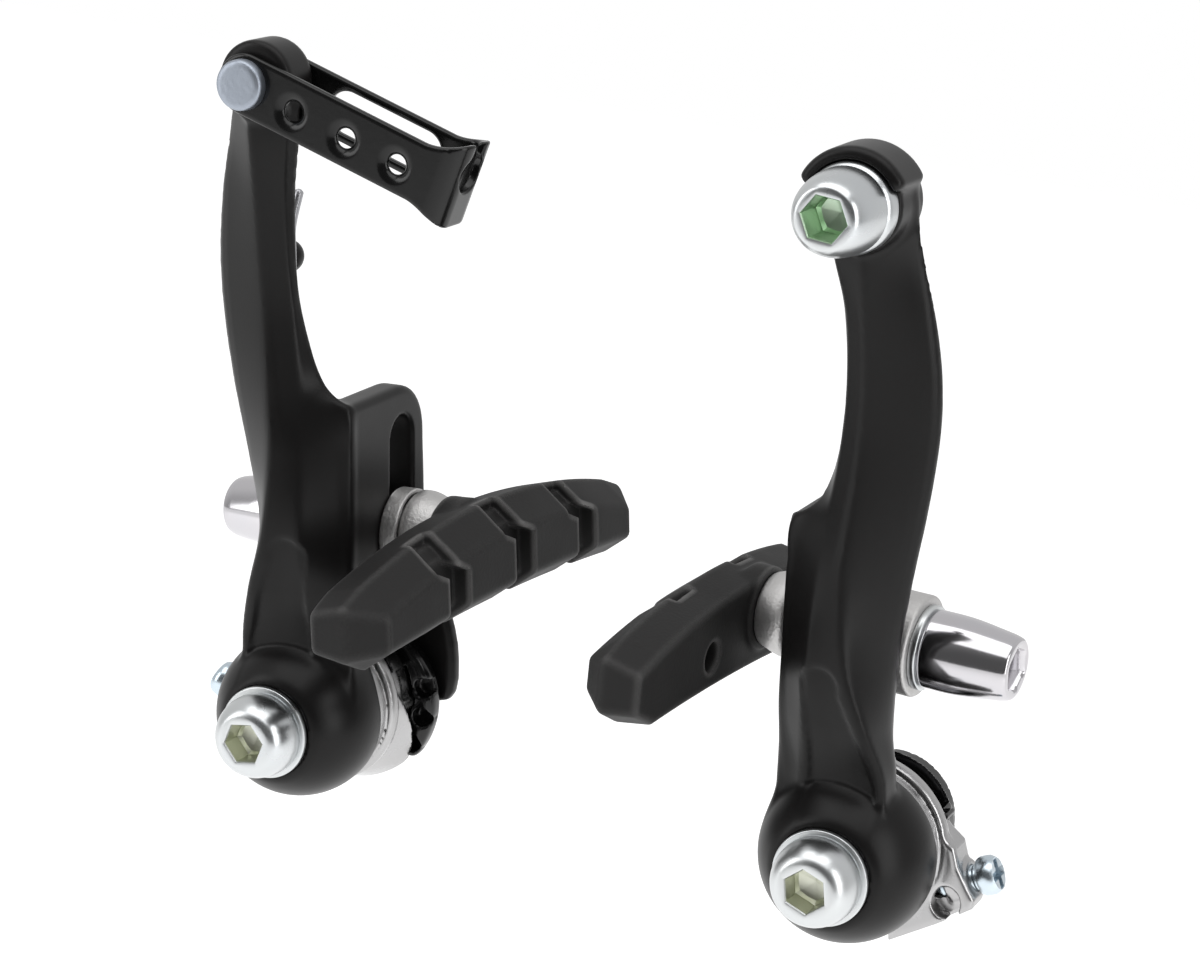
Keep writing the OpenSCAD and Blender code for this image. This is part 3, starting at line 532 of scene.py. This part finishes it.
def cap_field(p):
    x, y, z = p.T
    r = reach(x, z)
    body = outline(r, y, [(BORE_R, 3), (11.4, 3), (11.4, 6), (9.7, 6.8), (9.7, 9.4), (8.3, 11.8),
                          (8.3, 13.9), (BORE_R, 13.9)])
    lobe = both(both(reach(x + 2.4, z + 1.8) - 12.2, r - 14, 1.5), between(y, 7.6, 11), 1.4)
    lobe = both(lobe, outline(x, z, [(4, 0)] + arc(22, 118, 214, 8)), 1.2)
    body = either(body, lobe, 0.6)
    body = less(body, both(r - 10.7, y - 5.3), 0.2)
    body = less(body, both(r - 9, y - 9.4), 0.2)
    below = sector(x, z, *UNDER)
    body = less(body, both(both(r - 10.7, below), y - 9.7), 0.2)
    body = less(body, both(below, y - 7.6), 0.3)
    body = less(body, both(r - 6.1, between(y, 0, 16)), 0.2)
    body = less(body, both(sector(x, z, *GATE), y - 9.8), 0.3)
    body = less(body, both(reach(x - FRAME_PIN[0], z - FRAME_PIN[1]) - 1.2, between(y, 0, 16)), 0.2)
    lug_room = outline(x, z, arc(20, -78, 24, 8) + arc(10.3, 24, -78, 10))
    body = less(body, both(lug_room, y - 7.3), 0.3)
    for cx, cz in arc(12.35, 168, 208, 2):       # three recesses in the lobe
        body = less(body, both(reach(x - cx, z - cz) - 1.3, y - 9.6), 0.5)
    return body


# Cable link

def link_field(p):
    u, y, w = p.T
    length, sheet, centre = LINK_LENGTH, 1.2, LINK_FRONT + LINK_WIDTH / 2
    across = np.abs(y - centre)
    mid, end, bend = LINK_WIDTH / 2 - sheet / 2, length - sheet / 2, 2.4
    # distance from the bent sheet's middle, a channel open towards the rivet
    du, dy = u - (end - bend), across - (mid - bend)
    path = np.where((du > 0) & (dy > 0), np.abs(reach(du, dy) - bend),
                    np.where(dy > du, np.abs(across - mid), np.abs(u - end)))
    flare = 2.0 * np.clip((u - (length - 5.5)) / 5.5, 0, 1) ** 1.6
    sides = either(reach(u, w) - 3.9, both(np.abs(w) - 3.9 - flare, -u))
    corner = reach(np.maximum(-w - 2.9, 0), np.maximum(across - 2.2, 0)) - 3.2
    brow = reach(np.maximum(w - 4.4, 0), np.maximum(across - 3.2, 0)) - 1.5
    rounded = np.maximum(np.where(w < -2.9, corner, -9), np.where(w > 4.4, brow, -9))
    wall = np.where(u > length - 2.6, rounded, -9)
    d = both(path - sheet / 2, both(sides, wall, 0.4), 0.5)
    seat = either(reach(y - centre, w - 1.6) - 2.6, both(np.abs(y - centre) - 1.3, 1.6 - w), 0.5)
    d = less(d, both(seat, length - 2.4 - u), 0.35)
    for at in (7.5, 15.5, 23.2):
        hole = reach(u - at, w + 0.4)
        dish = hole - 1.25 - 0.75 * np.clip(1 - (y - LINK_FRONT) / 0.8, 0, 1) ** 1.5
        d = less(d, both(dish, y - centre), 0.5)
    slot = reach(w, u - np.clip(u, 11, length - 9)) - 2.8
    d = less(d, both(slot, centre - y), 0.35)
    return less(d, reach(u, w) - RIVET_HOLE_R)


# Materials

MIX_A, MIX_B, MIXED = 6, 7, 2      # the colour sockets of a mix node
VALUE_A, VALUE_B = 2, 3            # its number sockets


def grain_group():
    """Fine surface grain as a bumped normal, and a slow stain."""
    g = bpy.data.node_groups.new("surface_grain", "ShaderNodeTree")
    g.interface.new_socket("Scale", in_out="INPUT", socket_type="NodeSocketFloat")
    g.interface.new_socket("Strength", in_out="INPUT", socket_type="NodeSocketFloat")
    g.interface.new_socket("Normal", in_out="OUTPUT", socket_type="NodeSocketVector")
    g.interface.new_socket("Stain", in_out="OUTPUT", socket_type="NodeSocketFloat")
    n, link = g.nodes, g.links.new
    inp, out = n.new("NodeGroupInput"), n.new("NodeGroupOutput")
    coords = n.new("ShaderNodeTexCoord")
    fine = n.new("ShaderNodeTexNoise")
    fine.inputs["Detail"].default_value = 3
    slow = n.new("ShaderNodeTexNoise")
    slow.inputs["Scale"].default_value = 90
    slow.inputs["Detail"].default_value = 4
    bump = n.new("ShaderNodeBump")
    bump.inputs["Distance"].default_value = 0.0001
    link(coords.outputs["Object"], fine.inputs["Vector"])
    link(coords.outputs["Object"], slow.inputs["Vector"])
    link(inp.outputs["Scale"], fine.inputs["Scale"])
    link(fine.outputs["Fac"], bump.inputs["Height"])
    link(inp.outputs["Strength"], bump.inputs["Strength"])
    link(bump.outputs["Normal"], out.inputs["Normal"])
    link(slow.outputs["Fac"], out.inputs["Stain"])
    return g


def edge_highlight_group():
    """Mask of convex edges for a painted highlight, 1 where the surface turns away within the radius."""
    g = bpy.data.node_groups.new("painted_edge_highlight", "ShaderNodeTree")
    g.interface.new_socket("Radius", in_out="INPUT", socket_type="NodeSocketFloat")
    g.interface.new_socket("Edges", in_out="OUTPUT", socket_type="NodeSocketFloat")
    n, link = g.nodes, g.links.new
    inp, out = n.new("NodeGroupInput"), n.new("NodeGroupOutput")
    inner = n.new("ShaderNodeAmbientOcclusion")
    inner.samples = 4
    inner.inside = True
    link(inp.outputs["Radius"], inner.inputs["Distance"])
    ramp = n.new("ShaderNodeMapRange")
    ramp.inputs["From Min"].default_value = 0.93
    ramp.inputs["From Max"].default_value = 0.62
    link(inner.outputs["AO"], ramp.inputs["Value"])
    link(ramp.outputs["Result"], out.inputs["Edges"])
    return g


GRAIN, EDGE_HIGHLIGHT = grain_group(), edge_highlight_group()


def material(name, colour, rough, metallic=0.0, grain=(900, 0.1), stain=None, rough_spread=0.0,
             edge=None, coat=0.0, specular=0.5):
    """Principled surface with the shared grain as (scale, strength) and, where asked, a second
    colour in stains, a spread of roughness, and a painted highlight of lighter colour on convex edges as
    (colour, share, radius)."""
    m = bpy.data.materials.new(name)
    m.use_nodes = True
    n, link = m.node_tree.nodes, m.node_tree.links.new
    bsdf = n["Principled BSDF"]
    bsdf.inputs["Base Color"].default_value = (*colour, 1)
    bsdf.inputs["Roughness"].default_value = rough
    bsdf.inputs["Metallic"].default_value = metallic
    bsdf.inputs["Coat Weight"].default_value = coat
    bsdf.inputs["Coat Roughness"].default_value = 0.12
    bsdf.inputs["Specular IOR Level"].default_value = specular
    g = n.new("ShaderNodeGroup")
    g.node_tree = GRAIN
    g.inputs["Scale"].default_value = grain[0]
    g.inputs["Strength"].default_value = grain[1]
    link(g.outputs["Normal"], bsdf.inputs["Normal"])
    if rough_spread:
        spread = n.new("ShaderNodeMapRange")
        spread.inputs["From Min"].default_value = 0.3
        spread.inputs["From Max"].default_value = 0.7
        spread.inputs["To Min"].default_value = rough - rough_spread
        spread.inputs["To Max"].default_value = rough + rough_spread
        link(g.outputs["Stain"], spread.inputs["Value"])
        link(spread.outputs["Result"], bsdf.inputs["Roughness"])
    if stain:
        shade = n.new("ShaderNodeMix")
        shade.data_type = "RGBA"
        shade.inputs[MIX_A].default_value = (*colour, 1)
        shade.inputs[MIX_B].default_value = (*stain, 1)
        link(g.outputs["Stain"], shade.inputs["Factor"])
        link(shade.outputs[MIXED], bsdf.inputs["Base Color"])
    if edge:
        edge_colour, share, radius = edge
        w = n.new("ShaderNodeGroup")
        w.node_tree = EDGE_HIGHLIGHT
        w.inputs["Radius"].default_value = radius
        amount = n.new("ShaderNodeMath")
        amount.operation = "MULTIPLY"
        amount.inputs[1].default_value = share
        link(w.outputs["Edges"], amount.inputs[0])
        # painted highlight: a lighter colour mixed in along the convex edges
        edge_lit = n.new("ShaderNodeMix")
        edge_lit.data_type = "RGBA"
        edge_lit.inputs[MIX_B].default_value = (*edge_colour, 1)
        link(shade.outputs[MIXED], edge_lit.inputs[MIX_A])
        link(amount.outputs[0], edge_lit.inputs["Factor"])
        link(edge_lit.outputs[MIXED], bsdf.inputs["Base Color"])
    return m


PAINT = material("satin_black_paint", (0.005, 0.0046, 0.0046), 0.36, grain=(2600, 0.04),
                 stain=(0.006, 0.0055, 0.0055), rough_spread=0.03, specular=0.2)
ENAMEL = material("gloss_black_enamel", (0.0035, 0.0035, 0.0035), 0.2, grain=(700, 0.1),
                  rough_spread=0.04, coat=0.1, specular=0.3)
# the pad's edge colour is a painted highlight along its convex edges
RUBBER = material("pad_rubber", (0.0125, 0.012, 0.012), 0.58, grain=(2200, 0.3),
                  stain=(0.019, 0.0185, 0.0185), rough_spread=0.06,
                  edge=((0.16, 0.157, 0.155), 0.9, 0.0009), specular=0.2)
PLASTIC = material("cap_plastic", (0.004, 0.004, 0.0042), 0.18, grain=(500, 0.05), coat=0.1,
                   specular=0.35)
ZINC = material("bright_zinc", (0.53, 0.555, 0.58), 0.3, 1.0, grain=(1600, 0.06),
                stain=(0.63, 0.64, 0.63), rough_spread=0.06)
YELLOW_ZINC = material("socket_zinc", (0.70, 0.72, 0.60), 0.34, 1.0, grain=(1200, 0.1),
                       stain=(0.74, 0.75, 0.66))
GREEN_ZINC = material("green_socket", (0.60, 0.78, 0.62), 0.32, 1.0, grain=(1200, 0.1),
                      stain=(0.72, 0.84, 0.66))
CHROME = material("nut_chrome", (0.56, 0.535, 0.54), 0.12, 1.0, grain=(800, 0.04),
                  stain=(0.53, 0.53, 0.56), rough_spread=0.03)
CAST = material("cast_washer", (0.46, 0.455, 0.45), 0.5, 1.0, grain=(2400, 0.9),
                stain=(0.58, 0.57, 0.565), rough_spread=0.08)
DIECAST = material("die_cast_housing", (0.46, 0.46, 0.47), 0.26, 1.0, grain=(700, 0.14),
                   stain=(0.38, 0.375, 0.37), rough_spread=0.08)
WIRE = material("spring_wire", (0.42, 0.42, 0.44), 0.35, 1.0, grain=(2000, 0.08))
RIVET = material("rivet_steel", (0.30, 0.335, 0.39), 0.45, 1.0, grain=(1500, 0.3),
                 stain=(0.38, 0.41, 0.46), rough_spread=0.08)
BUSH = material("bush_steel", (0.40, 0.40, 0.41), 0.3, 1.0, grain=(1800, 0.1))
BLUE_ZINC = material("blued_zinc", (0.50, 0.60, 0.68), 0.26, 1.0, grain=(1400, 0.08),
                     stain=(0.62, 0.68, 0.72))


# Building

def finish_socket(bolt, finish, x, z, mouth, floor):
    """Another finish on the faces of a screw's socket: about (x, z), from its mouth to its floor."""
    bolt.data.materials.append(finish)
    for poly in bolt.data.polygons:
        c = poly.center * 1000
        if mouth < c.y < floor and math.hypot(c.x - x, c.z - z) < KEY_R:
            poly.material_index = 1


def socket_screw(head_r, head_h, key, shank_r, length):
    """Button head with a hexagon socket of the given key, its seat at 0 and its shank on +Z."""
    apothem = key / 2
    deep = head_h * 0.72
    rim = 0.9
    top_r = apothem / math.cos(math.pi / 6) + 0.45
    dome = [(top_r + (head_r - top_r) * math.cos(a), -rim - (head_h - rim) * math.sin(a))
            for a in np.linspace(0, math.pi / 2, 14)]
    profile = [(0.02, -head_h + deep + 0.5), (apothem * 0.86, -head_h + deep + 0.1, 0.6),
               (apothem, -head_h + deep - 0.3, 1), (apothem, -head_h + 0.25, 1),
               (apothem + 0.12, -head_h + 0.05, 1), (apothem + 0.35, -head_h, 0.9)]
    profile += dome[-2::-1]
    profile += softened([(head_r, -rim), (head_r, 0), (shank_r + 0.15, 0)], 0.3)[1:]
    profile += [(shank_r, 0.2), (shank_r, length - 0.6), (shank_r - 0.5, length)]
    return turned(profile, 96, hexagon)


def build_arm(side):
    low, high = (-17, -21, -13), (14, 15, 95)
    v, f = skin(lambda p: arm_field(p, side), low, high, 0.42)
    piece(side + "_arm_forging", v, f, on_arm(side), side + "_arm", [side + "_arm"],
          PAINT, sharp=55)


def build_pivot(side):
    body = "mount_hardware"
    place = on_boss(side) @ ALONG_Y
    bore, bush_r, washer_r = 4.1, 6, 6.35
    v, f = ring_of(softened([(bore, -BUSH_END), (bush_r, -BUSH_END), (bush_r, BUSH_END), (bore, BUSH_END)],
                            0.35, closed=True))
    piece(side + "_bush", v, f, place, body, [side + "_pivot_bush"], BUSH)
    v, f = ring_of(softened([(WASHER_BORE_R, -HEAD_SEAT), (washer_r, -HEAD_SEAT), (washer_r, -BUSH_END),
                             (WASHER_BORE_R, -BUSH_END)], 0.25, closed=True))
    piece(side + "_washer", v, f, place, body, [side + "_pivot_washer"], ZINC)
    v, f = socket_screw(5.7, 5.2, 5, THREAD_R, 18)
    spin = turn("Z", 12 if side == "left" else 20)
    bolt = piece(side + "_pivot_screw", v, f, place @ shift(0, 0, -HEAD_SEAT) @ spin, body,
                 [side + "_pivot_bolt"], ZINC, sharp=30)
    boss_x = -BOSS_X if side == "left" else BOSS_X
    finish_socket(bolt, YELLOW_ZINC, boss_x, 0, -20.1, -15.5)


def build_housing(side):
    body = "mount_hardware"
    v, f = skin(plate_field, (-12, -2.2, -14.5), (17, 17.2, 12), 0.27)
    piece(side + "_housing", v, f, on_boss(side), body, [side + "_spring_plate"],
          DIECAST, sharp=50)
    v, f = skin(cap_field, (-15, 2.4, -15), (12, 14.3, 15), 0.27)
    piece(side + "_cap", v, f, on_boss(side), body, [side + "_spring_cap"], PLASTIC, sharp=50)
    head = [(0.02, 4.1), (1.7, 4.2, 1), (1.85, 4.9, 1), (1.95, 5.3, 1), (2.1, 5.35, 0), (2.3, 5.1),
            (2.55, 4.7), (2.6, 4.3), (2.6, 3.4), (2.4, 3.0), (1.75, 2.95)]
    thread = [(1.62 + 0.12 * (i % 2), 2.8 - i * 0.3) for i in range(19)]
    profile = head + thread + [(1.2, -3.2)]
    v, f = turned(profile[::-1], 96, cross)
    piece(side + "_adjuster", v, f, on_screw(side) @ ALONG_X, side + "_screw", [side + "_tension_screw"],
          BLUE_ZINC, sharp=30)


def build_spring(side):
    """Two turns around the bush, then the leg up behind the arm to the peg."""
    r, coil_r, start, end, turns, pitch = 0.65, 7.6, 3.4, 36, 2, 2.05
    coil = [(coil_r * math.cos(a), start + pitch * (math.radians(end) - a) / (2 * math.pi),
             coil_r * math.sin(a)) for a in np.radians(np.linspace(end - 360 * turns, end, 90))]
    leg_x = PEG[0] - 1.2 - r - 0.02
    leg = smooth_route([coil[-1], (4.4, 3.6, 6.6), (2.6, 3.6, 9.6), (1.4, 3.2, 12.6), (0.9, 1.6, 15.6),
                        (0.9, -0.7, 18.4), (1.2, -2.3, 22), (leg_x, -2.9, 34), (leg_x, -3.0, 48),
                        (leg_x, -3.0, 62.2), (leg_x + 0.1, -2.9, 66.5), (leg_x - 0.1, -1.2, 71)], 8)
    v, f = tube(coil + [tuple(q) for q in leg[1:]], r)
    piece(side + "_spring", v, f, on_arm(side), side + "_arm", [side + "_return_spring"],
          WIRE)


def seat_line(c, r, start, end, steps=10):
    """Line of a ball seat of radius r about height c, from one radius of the washer to another."""
    return [(q, c - math.sqrt(r * r - q * q)) for q in np.linspace(start, end, steps + 1)]


def build_washers(side, inner):
    d, thick, back = (11.6, 2.5, 7.6) if inner else (13.4, 4.6, 10.0)
    name = side + ("_inner" if inner else "_outer")
    height, droop, yaw, _ = STUD[side]
    seat, gap, wall = 7.5, 0.3, 2.25
    centre = thick + math.sqrt((seat + gap) ** 2 - (d / 2 - 0.5) ** 2)
    way = -1 if inner else 1
    far = wall + centre
    place = on_arm(side) @ shift(-BLOCK_MID + way * wall, STUD_Y + way * far * math.sin(math.radians(yaw)),
                                 height - way * far * math.sin(math.radians(droop)))
    mirror = np.diag([-1.0 if inner else 1.0, 1, 1, 1])
    cup = softened([(4.3, 0), (d / 2, 0), (d / 2, thick), (d / 2 - 0.5, thick)], [0.2, 0.35, 0.25, 0.1])
    cup += seat_line(centre, seat + gap, d / 2 - 0.6, 4.3)
    v, f = ring_of(cup)
    piece(name + "_cup", v, f, place @ mirror @ ALONG_X, side + "_carrier", [name + "_cup_washer"],
          CAST)
    back_r = (d - 2) / 2 if inner else d / 2
    outer = centre - math.sqrt(seat ** 2 - (d / 2 - 0.2) ** 2) + 0.3
    ball = seat_line(centre, seat, 3.0, d / 2 - 0.2)
    ball += softened([(d / 2, outer), (d / 2, outer + (1.2 if inner else 2.2)), (back_r, back),
                      (3.0, back)], [0, 0.9, 0.5, 0.1])
    v, f = ring_of(ball)
    piece(name + "_ball", v, f, on_stud(side) @ mirror @ shift(wall, 0, 0) @ ALONG_X, side + "_pad",
          [name + "_ball_washer"], CAST)


def build_pad(side):
    body = side + "_pad"
    v, f = skin(pad_field, (-21, -35.5, -15), (-9, 37, 7), 0.3)
    piece(side + "_shoe", v, f, on_stud(side), body, [side + "_pad"], RUBBER, sharp=60)
    place = on_stud(side) @ ALONG_X
    thread = [(2.82 + 0.08 * (i % 2), -14.4 + i * 0.5) for i in range(69)]
    v, f = turned([(2.3, -15.3), (2.9, -14.9)] + thread + [(2.9, 20.0), (2.4, 20.05)], 48)
    piece(side + "_stud", v, f, place, body, [side + "_pad_stud"], ZINC)
    base, length = 13.25, 11.8
    v, f = ring_of(softened([(3, base - 1), (5.6, base - 1), (5.6, base), (3, base)], 0.25, closed=True))
    piece(side + "_thin_washer", v, f, place, body, [side + "_flat_washer"], ZINC)
    tip = base + length
    side_line = [(4.9, base), (5.2, base + 0.35), (5.2, base + length * 0.4), (4.35, tip - 1.0),
                 (4.0, tip), (3.2, tip)]
    profile = [(2.95, base)] + softened(side_line, [0.3, 0.3, 2.0, 0.7, 0.4, 0.2])
    profile += [(2.75, tip - 0.1, 1), (2.5, tip - 0.5, 1), (2.5, tip - 3.4, 1), (0.02, tip - 3.8)]
    v, f = turned(profile, 96, hexagon)
    piece(side + "_barrel_nut", v, f, place @ turn("Z", 10), body, [side + "_pad_nut"],
          CHROME, sharp=40)


def build_link():
    v, f = skin(link_field, (-4.2, -19.0, -7), (32, -8.6, 7), 0.21)
    piece("link_channel", v, f, on_link(), "cable_link", ["cable_link"], ENAMEL, sharp=50)
    head = [(0.02, -1.65), (2.7, -1.65), (3.25, -1.35), (3.3, -0.05), (2.0, 0)]
    tail = [(2.6, LINK_WIDTH), (2.6, 10.0), (1.6, 10.4), (0.02, 10.45)]
    v, f = turned(softened(head, [0, 0.5, 0.5, 0.1, 0]) + [(2.0, LINK_WIDTH)]
                  + softened(tail, [0, 0.3, 0.5, 0]), 64)
    piece("rivet", v, f, on_link() @ shift(0, LINK_FRONT, 0) @ ALONG_Y, "cable_link", ["link_rivet"],
          RIVET)


def build_clamp():
    place = on_arm("right") @ shift(CLAMP[0], -CLAMP_FACE, CLAMP[1]) @ ALONG_Y
    thick, washer_r = 3, 5.6
    section = [(WASHER_BORE_R, -thick), (washer_r - 0.7, -thick), (washer_r, 0.7 - thick), (washer_r, 0),
               (WASHER_BORE_R, 0)]
    v, f = ring_of(softened(section, [0.2, 0.4, 0.5, 0.3, 0.2], closed=True))
    piece("clamp_washer", v, f, place, "right_arm", ["cable_clamp_washer"], ZINC)
    v, f = socket_screw(5.3, 7.4, 5, THREAD_R, 12)
    bolt = piece("clamp_screw", v, f, place @ shift(0, 0, -thick) @ turn("Z", 8), "right_arm",
                 ["cable_clamp_bolt"], ZINC, sharp=30)
    finish_socket(bolt, GREEN_ZINC, place[0, 3], place[2, 3], -27.9, -20.7)


for side in SIDES:
    build_arm(side)
    build_pivot(side)
    build_housing(side)
    build_spring(side)
    build_washers(side, True)
    build_washers(side, False)
    build_pad(side)
build_link()
build_clamp()


# Studio

def area_light(name, where, aim, size, power):
    data = bpy.data.lights.new(name, "AREA")
    data.shape = "RECTANGLE"
    data.size, data.size_y = size
    data.energy = power
    obj = bpy.data.objects.new(name, data)
    obj.location = where
    obj.rotation_euler = (Vector(aim) - Vector(where)).to_track_quat("-Z", "Y").to_euler()
    bpy.context.scene.collection.objects.link(obj)


def seen_rays(tree):
    """The light path node, and a value of 1 on the rays that show the background: from the camera,
    in reflections and through glass."""
    path = tree.nodes.new("ShaderNodeLightPath")
    last = path.outputs["Is Camera Ray"]
    for name in ("Is Glossy Ray", "Is Transmission Ray"):
        joined = tree.nodes.new("ShaderNodeMath")
        joined.operation = "MAXIMUM"
        tree.links.new(last, joined.inputs[0])
        tree.links.new(path.outputs[name], joined.inputs[1])
        last = joined.outputs[0]
    return path, last


floor_mesh = bpy.data.meshes.new("studio_floor")
floor_mesh.from_pydata([(-1.5, -1.5, 0), (1.5, -1.5, 0), (1.5, 1.5, 0), (-1.5, 1.5, 0)], [], [(0, 1, 2, 3)])
floor = bpy.data.objects.new("studio_floor", floor_mesh)
bpy.context.scene.collection.objects.link(floor)
floor.location.z = -0.19
paper = bpy.data.materials.new("white_paper")
paper.use_nodes = True
pn, pl = paper.node_tree.nodes, paper.node_tree.links.new
plain = pn["Principled BSDF"]
plain.inputs["Base Color"].default_value = (0.8, 0.8, 0.8, 1)
plain.inputs["Roughness"].default_value = 0.9
# the glow is added to the lit paper, so that the paper keeps the shadow
glow = pn.new("ShaderNodeEmission")
faint = pn.new("ShaderNodeMath")
faint.operation = "MULTIPLY"
faint.inputs[1].default_value = 0.75
pl(seen_rays(paper.node_tree)[1], faint.inputs[0])
pl(faint.outputs[0], glow.inputs["Strength"])
added = pn.new("ShaderNodeAddShader")
pl(plain.outputs[0], added.inputs[0])
pl(glow.outputs[0], added.inputs[1])
pl(added.outputs[0], pn["Material Output"].inputs["Surface"])
floor_mesh.materials.append(paper)

world = bpy.data.worlds.new("studio")
bpy.context.scene.world = world
world.use_nodes = True
wn, wl = world.node_tree.nodes, world.node_tree.links.new
background = wn["Background"]
background.inputs["Color"].default_value = (1, 1, 1, 1)
path, shown = seen_rays(world.node_tree)
level = wn.new("ShaderNodeMapRange")
level.inputs["To Min"].default_value = 0.4
level.inputs["To Max"].default_value = 1.0
wl(shown, level.inputs["Value"])
# the room in front of the object is darker in reflections than the paper behind it
coords = wn.new("ShaderNodeTexCoord")
facing = wn.new("ShaderNodeVectorMath")
facing.operation = "DOT_PRODUCT"
facing.inputs[1].default_value = (0.25, -0.94, -0.23)
wl(coords.outputs["Generated"], facing.inputs[0])
room = wn.new("ShaderNodeMapRange")
room.interpolation_type = "SMOOTHSTEP"
room.inputs["From Min"].default_value = -0.5
room.inputs["From Max"].default_value = 0.75
room.inputs["To Min"].default_value = 0.78
room.inputs["To Max"].default_value = 0.12
wl(facing.outputs["Value"], room.inputs["Value"])
mirrored = wn.new("ShaderNodeMix")
mirrored.inputs[VALUE_A].default_value = 1.0
wl(path.outputs["Is Glossy Ray"], mirrored.inputs["Factor"])
wl(room.outputs["Result"], mirrored.inputs[VALUE_B])
strength = wn.new("ShaderNodeMath")
strength.operation = "MULTIPLY"
wl(level.outputs["Result"], strength.inputs[0])
wl(mirrored.outputs[0], strength.inputs[1])
wl(strength.outputs[0], background.inputs["Strength"])

area_light("top_softbox", (0.0, -0.15, 0.55), (0, 0, 0.05), (0.7, 0.5), 1.9)
area_light("left_softbox", (-0.55, -0.45, 0.25), (0, 0, 0.03), (0.3, 0.6), 1.6)
area_light("right_softbox", (0.6, -0.2, 0.2), (0, 0, 0.03), (0.25, 0.6), 1.6)

camera_data = bpy.data.cameras.new("camera")
camera_data.lens = 98.48
camera_data.sensor_width = 36
camera_data.clip_start = 0.01
camera = bpy.data.objects.new("camera", camera_data)
bpy.context.scene.collection.objects.link(camera)
azimuth, elevation, roll = (math.radians(a) for a in (22.82, 16.13, -5.73))
back = Vector((math.sin(azimuth) * math.cos(elevation), -math.cos(azimuth) * math.cos(elevation),
               math.sin(elevation)))
level_right = Vector((math.cos(azimuth), math.sin(azimuth), 0))
level_up = back.cross(level_right)
right = math.cos(roll) * level_right - math.sin(roll) * level_up
up = math.sin(roll) * level_right + math.cos(roll) * level_up
camera.matrix_world = Matrix((right, up, back)).transposed().to_4x4()
camera.location = (0.15801, -0.37842, 0.15884)
bpy.context.scene.camera = camera
bpy.context.scene.view_settings.view_transform = "Standard"
